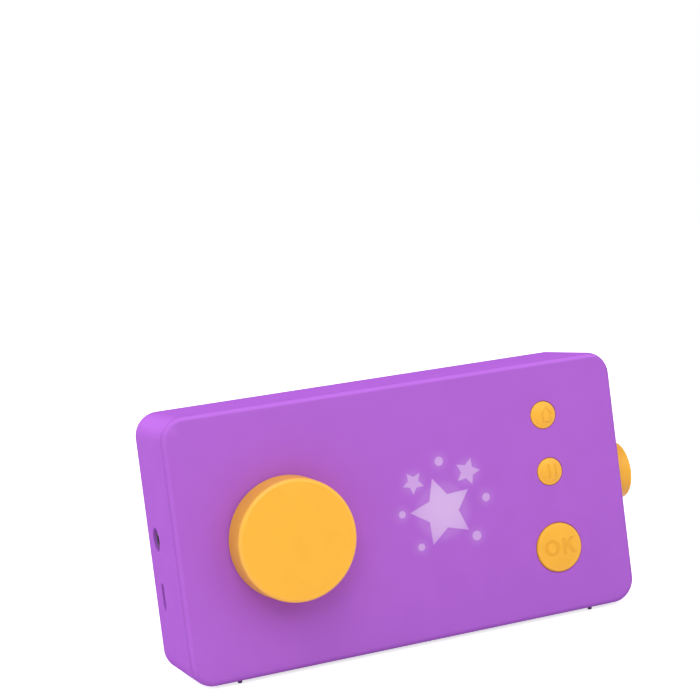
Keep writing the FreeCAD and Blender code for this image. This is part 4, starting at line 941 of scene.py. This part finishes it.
    def front_shell(self) -> bpy.types.Object:
        """Front panel and side walls as one moulding, with its posts, window and holes.

        Returns:
            The bare piece.
        """
        panel, side = self.front - self.wall, self.width / 2
        inside, through = panel - BITE, side - 2 * self.wall
        walls = rounded([
            (self.front_cap, panel), (self.wall, panel, 0.8), (self.wall, self.shell_end, 0.1),
            (0, self.shell_end, 0.1), (0, 0)], steps=8)
        profile = np.concatenate([walls, self.front_arc(), [(self.front_cap, self.front)]])
        piece = make_piece("player_front_shell", [self.round_it(profile)])
        carve(piece, [self.stud(at, post.radius, post.end, panel + BITE)
                      for post in self.posts for at in post.spots], Cut.JOIN)
        slot = np.concatenate([[(0, through)], flare(side, rim=0.3) * (-1, 1)])
        slot_seat = Seat((0, *self.slot), Facing.LEFT)
        pocket = -self.underside - self.foot_seat
        carve(piece, [
            *(self.stud(at, post.bore, *post.bored) for post in self.posts for at in post.spots),
            *(self.hole((self.button_across, up), radius + self.button_gap, inside, self.front,
                        rim=0.2, columns=160)
              for up, radius in self.buttons),
            self.hole(self.selector, self.bushing_hole, inside, self.front, rim=0.2, columns=48),
            self.hole(self.volume, self.bushing_hole, through, side, rim=0.2,
                      facing=Facing.RIGHT, columns=48),
            self.hole(self.jack, self.jack_hole, through, side, rim=0.4, facing=Facing.LEFT,
                      columns=64),
            carried(slot, self.slot_half, min(self.slot_half), slot_seat, arc=10, side=2,
                    least=0.3),
            self.stud(self.display, self.window, inside, self.front - self.window_skin,
                      columns=128),
            *(self.hole(at, self.foot_hole, pocket, -self.underside, rim=0.1, facing=Facing.DOWN,
                        columns=32)
              for at in self.feet)], Cut.TAKE_AWAY)
        return piece

    def sound_holes(self) -> list[Pair]:
        """The loudspeaker's sound holes: one, then rings of 6, 12 and 18.

        Returns:
            The middles of the holes.
        """
        spots = [self.speaker]
        for ring in self.sound_rings:
            turn = np.arange(6 * ring) * math.pi / (3 * ring)
            out = self.sound_pitch * ring
            spots += list(zip(self.speaker[0] + out * np.cos(turn),
                              self.speaker[1] + out * np.sin(turn)))
        return spots

    def rear_cover(self) -> bpy.types.Object:
        """Back wall with its lip, screw posts, loudspeaker seat, battery fence and sound holes.

        Returns:
            The bare piece.
        """
        inner = self.back + self.wall
        root, (near, far) = inner - BITE, self.lip
        piece = make_piece("player_rear_cover", [self.round_it(rounded([
            (self.back_cap, inner), (far, inner, 0.5), (far, self.lip_end, 0.25),
            (near, self.lip_end, 0.25), (near, self.cover_start, 0.1),
            (0, self.cover_start, 0.1), (0, self.back, self.back_edge),
            (self.back_cap, self.back)], steps=8))])
        small, large = self.ring
        ring = np.array([(small, root), (large, root), (large, self.ring_end),
                         (small, self.ring_end), (small, root)], float)
        fence = np.array([(0, root), (0, self.fence_end), (self.fence_wall, self.fence_end),
                          (self.fence_wall, root), (0, root)], float)
        bosses = [(self.speaker[0] + self.speaker_post_out * math.cos(turn),
                   self.speaker[1] + self.speaker_post_out * math.sin(turn))
                  for turn in np.radians(self.speaker_post_turns)]
        for solids in (
                [self.stud(at, self.cover_post, root, self.cover_post_end) for at in self.screws],
                [turned(ring, self.seat(self.speaker), columns=128)],
                [self.stud(at, self.speaker_post, root, self.speaker_post_end) for at in bosses],
                [carried(fence, self.fence_half, self.fence_corner, self.seat(self.battery),
                         arc=8, side=2)]):
            carve(piece, solids, Cut.JOIN)
        open_face = -self.back
        carve(piece, [
            *(self.hole(at, self.head_hole, self.head_seat, open_face, rim=0.3,
                        facing=Facing.BACK, columns=64)
              for at in self.screws),
            *(self.stud(at, self.speaker_bore, *self.speaker_bored) for at in bosses),
            *(self.hole(at, self.sound_hole, open_face - self.wall - BITE, open_face, rim=0.25,
                        facing=Facing.BACK, columns=24)
              for at in self.sound_holes())], Cut.TAKE_AWAY)
        carve(piece, [self.stud(at, self.screw_hole, *self.screw_span) for at in self.screws],
              Cut.TAKE_AWAY)
        return piece

    def plastic(self, name: str, glow: Optional["Display"] = None) -> bpy.types.Material:
        """Satin moulded plastic with a painted highlight: paler at the left and most of all at the
        top.

        How far a point lies out on the rounded edges is the length of (over x, over z) less
        the flat face's corner radius, where over is the coordinate beyond the corner's centre.
        The upper corner, where both are large, gets the painted highlight too; the wear of handling
        only makes the edges smoother.

        Args:
            name: Name of the material.
            glow: The display whose light shines through the panel, if it does.

        Returns:
            The material.
        """
        graph = Graph(name)
        share, height = CASING.surface(graph)
        x, y, z = graph.axes()
        over_x = (x * -1.0 - (self.width / 2 - self.corner)).most(0.0)
        over_z = (z - (self.middle + self.height / 2 - self.corner)).most(0.0)
        beside = over_x.length(over_z) - (self.corner - self.front_edge)
        along = (self.front_edge - self.front) - y
        patches = graph.noise(6.0, detail=4.0).rise(*self.worn_patches)
        wear = beside.least(along).rise(*self.worn) * patches
        # painted highlight: paler colour on the rounded edges, strongest along the top and at the
        # upper corner, where light from above falls
        edge = beside.rise(*self.highlight_side).least(along.rise(*self.highlight_front))
        upper = over_z.rise(*self.highlight_top) * (1.0 - self.highlight_below) + self.highlight_below
        corner = over_x.least(over_z).rise(*self.highlight_corner) * self.corner_highlight_share
        painted_highlight = (edge * upper).most(corner)
        if glow:
            glow.light(graph, x, y, z)
        colour, second = (graph.blend(painted_highlight, bare, CASING_HIGHLIGHT_PAINT)
                          for bare in (CASING.colour, CASING.second))
        return CASING.paint(graph, colour, second, height, share, wear)

    def build(self) -> None:
        """Makes, dresses and seats both halves of the casing."""
        for piece, finish, node in (
                (self.front_shell(), self.plastic("casing_front", Display(self.display)),
                 "front_shell"),
                (self.rear_cover(), self.plastic("casing_back"), "rear_cover")):
            coat(piece, finish)
            settle(piece, "casing", "casing_plastic", node)


@dataclass
class Display:
    """Light of the round display, which shines through the thinned panel as a night sky.

    A star is its middle's spot, its radius and its lean in degrees, and a dot is its middle's
    spot and its radius. A star's halo starts at its girth, a share of its radius.
    """

    centre: Pair
    stars: tuple[tuple[float, float, float, float], ...] = (
        (-1.2, -1.8, 11.6, 12.0), (9.4, 9.8, 4.6, -20.0), (-10.4, 9.2, 3.9, 30.0))
    dots: tuple[tuple[float, float, float], ...] = (
        (-0.4, 14.8, 1.5), (-15.6, -0.6, 1.2), (15.0, 0.2, 1.4), (10.0, -12.0, 1.6),
        (-10.2, -12.4, 1.2))
    points: int = 5
    notch: float = 0.5
    girth: float = 0.72
    blur: float = 0.22
    figure: float = 0.19
    core: float = 0.075
    halo: float = 0.045
    haze: float = 0.012
    reach: Pair = (4.0, -0.5)
    middle: Pair = (15.0, 2.0)
    skin: Pair = (-17.0, -17.6)
    tint: Colour = (0.78, 1.0, 0.54)

    def star(self, graph: Graph, x: Field, z: Field, radius: float, lean: float) -> Field:
        """Distance to a star's outline, below 0 inside it.

        The angle round the star is folded into half a point. There the outline is one straight
        line, so the distance is the radius times cos(angle - b) less R cos b, where b is the
        angle of that line's normal.

        Args:
            graph: The material's nodes.
            x: Distance to the right of the star's middle.
            z: Distance above it.
            radius: The star's radius R.
            lean: How far it is turned, in degrees.

        Returns:
            The distance in millimetres.
        """
        inner, fold = self.notch * radius, math.pi / self.points
        normal = math.atan2(radius - inner * math.cos(fold), inner * math.sin(fold))
        angle = graph.math("PINGPONG", graph.math("ARCTAN2", x, z) + math.radians(lean), fold)
        return x.length(z) * graph.math("COSINE", angle - normal) - radius * math.cos(normal)

    def light(self, graph: Graph, x: Field, y: Field, z: Field) -> None:
        """Feeds the shader's emission with the figure and the soft halo round it.

        Args:
            graph: The material's nodes.
            x: The surface's x in millimetres.
            y: Its y, which keeps the light on the front face.
            z: Its z.
        """
        across, up = x - self.centre[0], z - self.centre[1]
        near = around = None
        for middle_x, middle_z, radius, *lean in self.stars + self.dots:
            off_x, off_z = across - middle_x, up - middle_z
            circle = off_x.length(off_z) - radius * (self.girth if lean else 1.0)
            shape = self.star(graph, off_x, off_z, radius, lean[0]) if lean else circle
            near = shape if near is None else near.least(shape)
            around = circle if around is None else around.least(circle)
        fade = around.rise(*self.reach)
        middle = across.length(up).rise(*self.middle)
        inside = near.rise(self.blur, -self.blur) * (middle * self.core + self.figure)
        power = (inside + fade * fade * self.halo + middle * self.haze) * y.rise(*self.skin)
        graph.feed(graph.shader.inputs["Emission Color"],
                   graph.blend(power, (0.0, 0.0, 0.0), self.tint))
        graph.shader.inputs["Emission Strength"].default_value = 1.0


# ---------------------------------------------------------------------------- knobs and buttons
def control_material(name: str) -> bpy.types.Material:
    """Satin yellow plastic, smoother at worn edges and painted paler there as a painted highlight,
    and darker where a symbol is sunk in.

    Args:
        name: Name of the material.

    Returns:
        The material.
    """
    graph = Graph(name)
    share, height = CONTROL.surface(graph)
    inlay, edge = graph.mark("inlay"), graph.mark("wear")
    wear = edge * graph.noise(4.0, detail=4.0).rise(0.3, 0.6)
    # the wear mark both smooths the rims and paints them paler: a painted highlight
    colour, second = (
        graph.blend(edge, graph.blend(inlay, bare, sunk), worn)
        for bare, sunk, worn in zip((CONTROL.colour, CONTROL.second), CONTROL_SUNK, CONTROL_RIM_HIGHLIGHT))
    return CONTROL.paint(graph, colour, second, height, share, wear)


@dataclass
class Knob:
    """Hollow round knob with a hub inside that grips its shaft.

    The reach, the gap and the hub's end are heights above the wall that the knob stands on. The
    skirt and the face are the knob's own walls, and the taper narrows it towards its face.
    """

    name: str
    node: str
    body: str
    seat: Seat
    radius: float
    taper: float
    reach: float
    edge: float
    skirt: float
    face: float
    gap: float = 0.4
    hub: float = 6.0
    hub_end: float = 3.5
    bore: float = 3.02
    # strength of the wear mark, which smooths the rim and paints a highlight on it
    worn: float = 2.4
    columns: int = 192

    def build(self, material: bpy.types.Material) -> None:
        """Makes the knob as one turned profile, from the end of its bore round to its face.

        The wear is worn less worn times the distance from the rim over the edge's radius, held
        between 0 and 1. It makes the rounded rim smoother and paints a highlight on it.

        Args:
            material: Its plastic.
        """
        ceiling, inside = self.reach - self.face, self.radius - self.skirt
        rim = self.radius - self.taper
        profile = rounded([
            (0, ceiling), (self.bore, ceiling, 0.1), (self.bore, self.hub_end, 0.2),
            (self.hub, self.hub_end, 0.3), (self.hub, ceiling, 0.5),
            (inside - self.taper, ceiling, 0.6), (inside, self.gap, 0.2),
            (self.radius, self.gap, 0.35), (rim, self.reach, self.edge), (0, self.reach)], steps=10)
        off = np.abs(profile[:, 0] - rim) + np.abs(profile[:, 1] - self.reach)
        wear = np.clip(self.worn - self.worn * off / self.edge, 0, 1)
        wear = np.repeat(wear[:, None], self.columns, 1)
        piece = make_piece(self.name, [turned(profile, self.seat, self.columns)],
                           {"wear": wear, "inlay": wear * 0})
        coat(piece, material)
        settle(piece, self.body, "control_plastic", self.node)


def to_segment(x: np.ndarray, z: np.ndarray, start: Pair, end: Pair) -> np.ndarray:
    """Distance from points to a straight line between two ends.

    The foot of the point on the line is held between the ends, and the distance is to it.

    Args:
        x: How far right the points are.
        z: How far up they are.
        start: One end of the line.
        end: Its other end.

    Returns:
        The distances.
    """
    along = np.array(end, float) - np.array(start, float)
    away_x, away_z = x - start[0], z - start[1]
    share = np.clip((away_x * along[0] + away_z * along[1]) / (along @ along), 0, 1)
    return np.hypot(away_x - share * along[0], away_z - share * along[1])


def to_box(x: np.ndarray, z: np.ndarray, half: Pair, corner: float) -> np.ndarray:
    """Distance to a rounded box about the middle, below 0 inside it.

    Over = size of the coordinate less half and plus the corner radius, each way. The distance
    is the length of over where positive, plus its larger part where negative, less the radius.

    Args:
        x: How far right the points are.
        z: How far up they are.
        half: Half the box's width and half its height.
        corner: Its corner radius.

    Returns:
        The distances.
    """
    over_x, over_z = np.abs(x) - half[0] + corner, np.abs(z) - half[1] + corner
    return (np.hypot(np.maximum(over_x, 0), np.maximum(over_z, 0))
            + np.minimum(np.maximum(over_x, over_z), 0) - corner)


def house(x: np.ndarray, z: np.ndarray) -> np.ndarray:
    """Distance to the strokes of a small house: roof, walls and floor.

    Args:
        x: How far right of the symbol's middle the points are.
        z: How far above it they are.

    Returns:
        The distances, below 0 inside a stroke.
    """
    left, peak, right = (-2.05, 0.25), (0, 2.4), (2.05, 0.25)
    wall, top, floor, pen = 1.5, 0.3, -2.45, 0.3
    strokes = ((left, peak), (peak, right), ((-wall, top), (-wall, floor)),
               ((wall, top), (wall, floor)), ((-wall, floor), (wall, floor)))
    return np.min([to_segment(x, z, *stroke) for stroke in strokes], axis=0) - pen


def pause(x: np.ndarray, z: np.ndarray) -> np.ndarray:
    """Distance to the two upright bars of a pause sign.

    Args:
        x: How far right of the symbol's middle the points are.
        z: How far above it they are.

    Returns:
        The distances, below 0 inside a bar.
    """
    apart, bar, corner = 1.25, (0.5, 2.5), 0.12
    return to_box(np.abs(x) - apart, z, bar, corner)


def okay(x: np.ndarray, z: np.ndarray) -> np.ndarray:
    """Distance to the letters O and K.

    Args:
        x: How far right of the symbol's middle the points are.
        z: How far above it they are.

    Returns:
        The distances, below 0 inside a letter.
    """
    pen, arm_pen, tall = 0.65, 0.68, 2.9
    ring = np.abs(to_box(x + 3.0, z, (2.05, 2.25), 1.95)) - pen
    stem = to_box(x - 1.65, z, (pen, tall), 0.08)
    arms = np.minimum(to_segment(x, z, (2.0, -0.5), (5.3, 3.3)),
                      to_segment(x, z, (3.1, 0.6), (5.5, -3.4))) - arm_pen
    return np.min([ring, stem, np.maximum(arms, np.abs(z) - tall)], axis=0)


@dataclass
class PressButton:
    """Moulded cap with a sunk symbol, a flange that keeps it in and a stem on its back.

    The reach, the flange's span and the stem's end are heights above the front panel.
    """

    name: str
    node: str
    body: str
    up: float
    radius: float
    symbol: Callable[[np.ndarray, np.ndarray], np.ndarray]
    shift: Pair = (0.0, 0.0)
    crown: float = 1.0
    edge: float = 0.5
    rings: int = 100
    columns: int = 288
    across: float = Casing.button_across
    panel: float = -Casing.front
    reach: float = 1.2
    sunk: float = 0.16
    slope: float = 0.3
    stem: float = 2.0
    stem_end: float = -3.3
    flange: Pair = (-2.9, -2.1)
    flange_out: float = 1.0
    # wear mark: smooths the rim and paints a faint highlight on it
    worn: float = 0.4
    worn_band: float = 0.6
    unworn: float = 0.1

    def build(self, material: bpy.types.Material) -> None:
        """Makes the cap.

        The face's height is the reach less crown times (radius / face radius) squared, less
        the sunk depth times a smooth step of the distance to the symbol. The wear fades from 1
        at the edge of the face to 0 over its band on both sides; it smooths the edge and paints a
        faint highlight on it.

        Args:
            material: Its plastic.
        """
        flat, brink = self.radius - self.edge, self.reach - self.crown
        brim, (low, high) = self.radius + self.flange_out, self.flange
        # the last corner only tells the rounded edge where to turn, and is dropped
        side = rounded([
            (0, self.stem_end), (self.stem, self.stem_end, 0.2), (self.stem, low),
            (brim, low, 0.15), (brim, high, 0.15), (self.radius, high, 0.1),
            (self.radius, brink, self.edge), (flat - 0.2, brink)], steps=8)[:-1]
        radii = np.linspace(flat, 0, self.rings)[1:]
        profile = np.concatenate([side, np.stack([radii, np.full_like(radii, brink)], -1)])
        seat = Seat((self.across, self.panel, self.up), Facing.FRONT)
        grid = turned(profile, seat, self.columns)
        x, z = grid[..., 0] - self.across, grid[..., 2] - self.up
        away = self.symbol(x - self.shift[0], z - self.shift[1])
        depth = np.clip(0.5 - away / self.slope, 0, 1)
        depth = depth * depth * (3 - 2 * depth)
        top = (np.arange(len(profile)) >= len(side) - 1)[:, None]
        out = np.hypot(x, z)
        share = np.clip(out / flat, 0, 1)
        grid[..., 1] -= np.where(top, self.crown * (1 - share ** 2) - self.sunk * depth, 0)
        wear = np.clip(1 - np.abs(out - flat) / self.worn_band, 0, 1)
        wear = wear * (grid[..., 1] < self.panel - self.unworn)
        piece = make_piece(self.name, [grid], {"wear": wear * self.worn, "inlay": depth * top})
        coat(piece, material)
        settle(piece, self.body, "control_plastic", self.node)


@dataclass
class Controls:
    """The two knobs and the three press buttons, of one plastic."""

    knobs: tuple[Knob, ...] = (
        Knob("player_selector_knob", "selector_knob", "selector",
             Seat((Casing.selector[0], -Casing.front, Casing.selector[1]), Facing.FRONT),
             radius=20.1, taper=0.4, reach=11.1, edge=1.35, skirt=2.0, face=2.4),
        Knob("player_volume_knob", "volume_knob", "volume",
             Seat((Casing.width / 2, *Casing.volume), Facing.RIGHT),
             radius=10.2, taper=0.15, reach=8.4, edge=1.0, skirt=1.8, face=2.2))
    buttons: tuple[PressButton, ...] = (
        PressButton("player_home_button", "home_button", "home_key", *Casing.buttons[0], house,
                    shift=(0.9, -0.2)),
        PressButton("player_pause_button", "pause_button", "pause_key", *Casing.buttons[1], pause,
                    shift=(0.6, 0.0)),
        PressButton("player_ok_button", "ok_button", "ok_key", *Casing.buttons[2], okay,
                    crown=0.5, edge=0.85, rings=150, columns=384))

    def build(self) -> None:
        """Makes them all with one material."""
        yellow = control_material("control_plastic")
        for control in self.knobs + self.buttons:
            control.build(yellow)


# ----------------------------------------------------------------------------------- other parts
@dataclass
class Feet:
    """Four small rubber nubs pressed into the underside."""

    spots: tuple[Pair, ...] = Casing.feet
    radius: float = 0.75
    height: float = 2.0
    tip: float = 0.4

    def build(self) -> None:
        """Makes the four feet as one piece of turned nubs with domed lower edges."""
        profile = rounded([(0, -self.height), (self.radius, -self.height, 0.15),
                           (self.radius, 0, self.tip), (0, 0)], steps=6)
        piece = make_piece("player_feet", [
            turned(profile, Seat((*at, 0), Facing.DOWN), columns=40) for at in self.spots])
        coat(piece, FOOT.material())
        settle(piece, "casing", "foot_rubber", "rubber_feet")


@dataclass(frozen=True)
class Foams:
    """The pad behind the battery and the loudspeaker's ring, on the back wall's inner face."""

    wall: float = Casing.back + Casing.wall
    battery: Pair = Casing.battery
    pad_half: Pair = (23.0, 14.0)
    pad_corner: float = 2.0
    pad_face: float = -15.2
    pad_edge: float = 0.25
    pad_cap: float = 3.0
    speaker: Pair = Casing.speaker
    ring: Pair = (17.4, 20.0)
    ring_face: float = -15.0
    ring_edge: float = 0.3
    ring_seam: float = 18.7

    def forms(self) -> dict[str, np.ndarray]:
        """Both foams with soft edges.

        Returns:
            Grids of points by CAD node.
        """
        small, large = self.ring
        pad = rounded([(self.pad_cap, self.pad_face), (0, self.pad_face, self.pad_edge),
                       (0, self.wall, self.pad_edge), (self.pad_cap, self.wall)], steps=5)
        ring = rounded([
            (self.ring_seam, self.ring_face), (large, self.ring_face, self.ring_edge),
            (large, self.wall, self.ring_edge), (small, self.wall, self.ring_edge),
            (small, self.ring_face, self.ring_edge), (self.ring_seam, self.ring_face)], steps=5)
        pad_seat, ring_seat = (Seat((across, 0, up), Facing.FRONT)
                               for across, up in (self.battery, self.speaker))
        return {"battery_foam": carried(pad, self.pad_half, self.pad_corner, pad_seat, arc=8),
                "speaker_gasket": turned(ring, ring_seat, columns=128)}

    def build(self, material: bpy.types.Material) -> None:
        """Makes both foams.

        Args:
            material: What they are made of.
        """
        for node, grid in self.forms().items():
            piece = make_piece(f"player_{node}", [grid])
            coat(piece, material)
            settle(piece, "casing", "foam", node)


@dataclass
class Works:
    """What is inside the casing: foams of their own and CAD nodes with their finishes."""

    record: dict
    nodes: dict[str, bpy.types.Object]
    foams: Foams = Foams()

    def dress(self) -> None:
        """Makes the foams and gives every other CAD node the finish of its slot in the record."""
        slots = {row["node"]: row["material_slot"] for row in self.record["subparts"]}
        made = {finish.name: finish.material() for finish in INNER}
        self.foams.build(made["foam"])
        for node, piece in sorted(self.nodes.items()):
            if slots[node] in made and slots[node] != "foam":
                coat(piece, made[slots[node]])
                log.info("%s: finish %s", node, slots[node])


# -------------------------------------------------------------------------------- studio, camera
@dataclass(frozen=True)
class Lamp:
    """A square soft light."""

    name: str
    place: Point
    aim: Point
    size: float
    power: float
    colour: Colour = (1.0, 1.0, 1.0)

    def hang(self) -> None:
        """Puts the lamp in the scene, facing its aim."""
        data = bpy.data.lights.new(self.name, "AREA")
        data.shape, data.size = "SQUARE", self.size
        data.energy, data.color = self.power, self.colour
        lamp = bpy.data.objects.new(self.name, data)
        lamp.location = self.place
        way = Vector(self.aim) - Vector(self.place)
        lamp.rotation_euler = way.to_track_quat("-Z", "Y").to_euler()
        bpy.context.scene.collection.objects.link(lamp)


@dataclass
class Studio:
    """Plain pale floor, white surroundings and soft lamps. Its lengths are metres."""

    lamps: tuple[Lamp, ...] = (
        Lamp("lamp_key", (-0.55, -1.35, 1.65), (0, 0, 0.04), 2.0, 30.0, (1.0, 1.0, 1.01)),
        Lamp("lamp_right", (1.3, -1.4, 1.0), (0, 0, 0.04), 1.2, 9.0),
        Lamp("lamp_left", (-1.4, 1.0, 0.7), (0, 0, 0.04), 0.9, 14.4, (1.0, 1.05, 1.0)),
        Lamp("lamp_top", (-0.1, 0.5, 1.5), (0, 0, 0.08), 1.0, 6.0, (1.0, 0.55, 1.2)))
    ambient: float = 0.35
    floor_half: float = 12.0
    floor_grey: float = 0.80
    glow: float = 0.76
    glow_grows: Pair = (0.3, 1.5)

    def surroundings(self) -> None:
        """White where seen, and a plain soft light on everything else."""
        world = bpy.data.worlds.new("studio")
        bpy.context.scene.world = world
        world.use_nodes = True
        nodes = Nodes(world.node_tree)
        back = nodes.add("ShaderNodeBackground")
        nodes.feed(back.inputs["Color"], (1.0, 1.0, 1.0, 1.0))
        nodes.feed(back.inputs["Strength"], nodes.seen().ramp(0.0, 1.0, self.ambient))
        nodes.feed(nodes.add("ShaderNodeOutputWorld").inputs["Surface"], back.outputs[0])

    def floor_paint(self) -> bpy.types.Material:
        """Matt paint with a glow that shows only where it is seen and grows away from the part.

        Returns:
            The material.
        """
        paint = bpy.data.materials.new("floor_paint")
        paint.use_nodes = True
        nodes = Nodes(paint.node_tree)
        matt, glow = nodes.add("ShaderNodeBsdfDiffuse"), nodes.add("ShaderNodeEmission")
        nodes.feed(matt.inputs["Color"], (*[self.floor_grey] * 3, 1.0))
        away = nodes.add("ShaderNodeVectorMath", operation="LENGTH")
        nodes.feed(away.inputs[0], nodes.add("ShaderNodeTexCoord").outputs["Object"])
        level = Field(nodes, away.outputs["Value"]).ramp(*self.glow_grows, self.glow)
        nodes.feed(glow.inputs["Strength"], nodes.seen() * level)
        both = nodes.add("ShaderNodeAddShader")
        for socket, shader in zip(both.inputs, (matt, glow)):
            nodes.feed(socket, shader.outputs[0])
        nodes.feed(nodes.add("ShaderNodeOutputMaterial").inputs["Surface"], both.outputs[0])
        return paint

    def floor(self) -> None:
        """Pale floor that looks white, most of all far off, and keeps the object's shadow."""
        edge = self.floor_half
        mesh = bpy.data.meshes.new("floor")
        mesh.from_pydata([(-edge, -edge, 0), (edge, -edge, 0), (edge, edge, 0), (-edge, edge, 0)],
                         [], [(0, 1, 2, 3)])
        floor = bpy.data.objects.new("floor", mesh)
        bpy.context.scene.collection.objects.link(floor)
        coat(floor, self.floor_paint())

    def build(self) -> None:
        """Sets up the colour view, the surroundings, the floor and the lamps."""
        bpy.context.scene.view_settings.view_transform = "Standard"
        self.surroundings()
        self.floor()
        for lamp in self.lamps:
            lamp.hang()


@dataclass
class View:
    """The camera, a little left of the front and above, leaning slightly.

    The shift is in millimetres from the low edge of the front face, along the camera's right,
    down and ahead.
    """

    lens: float = 91.785
    sensor: float = 36.0
    nearest: float = 0.01
    turn: Point = (0.0312973, -0.3546309, -0.1343384)
    shift: Point = (25.01373, 96.97447, 590.37345)
    low_edge: Point = (0.0, -Casing.front, Casing.underside)

    def build(self) -> None:
        """Places the camera by its rotation vector and the shift that goes with it.

        Its place is the low edge's middle less the shift turned back into the part's axes.
        """
        turn = Vector(self.turn)
        spin = Matrix.Rotation(turn.length, 3, turn.normalized())
        stand = Matrix(((1, 0, 0), (0, 0, -1), (0, 1, 0)))
        seen = spin @ stand
        place = -(seen.transposed() @ Vector(self.shift)) + Vector(self.low_edge)
        data = bpy.data.cameras.new("camera")
        data.sensor_width, data.lens, data.clip_start = self.sensor, self.lens, self.nearest
        camera = bpy.data.objects.new("camera", data)
        right, down, ahead = seen
        camera.matrix_world = Matrix((right, -down, -ahead)).transposed().to_4x4()
        camera.location = place * MM
        bpy.context.scene.collection.objects.link(camera)
        bpy.context.scene.camera = camera


def main() -> None:
    """Loads the frame, builds each sub-assembly, the studio and the camera."""
    logging.basicConfig(level=logging.INFO, format="%(name)s: %(message)s")
    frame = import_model()
    View().build()
    Casing().build()
    Controls().build()
    Feet().build()
    Works(frame["record"], frame["nodes"]).dress()
    Studio().build()
    log.info("built")


if __name__ == "__main__":
    main()
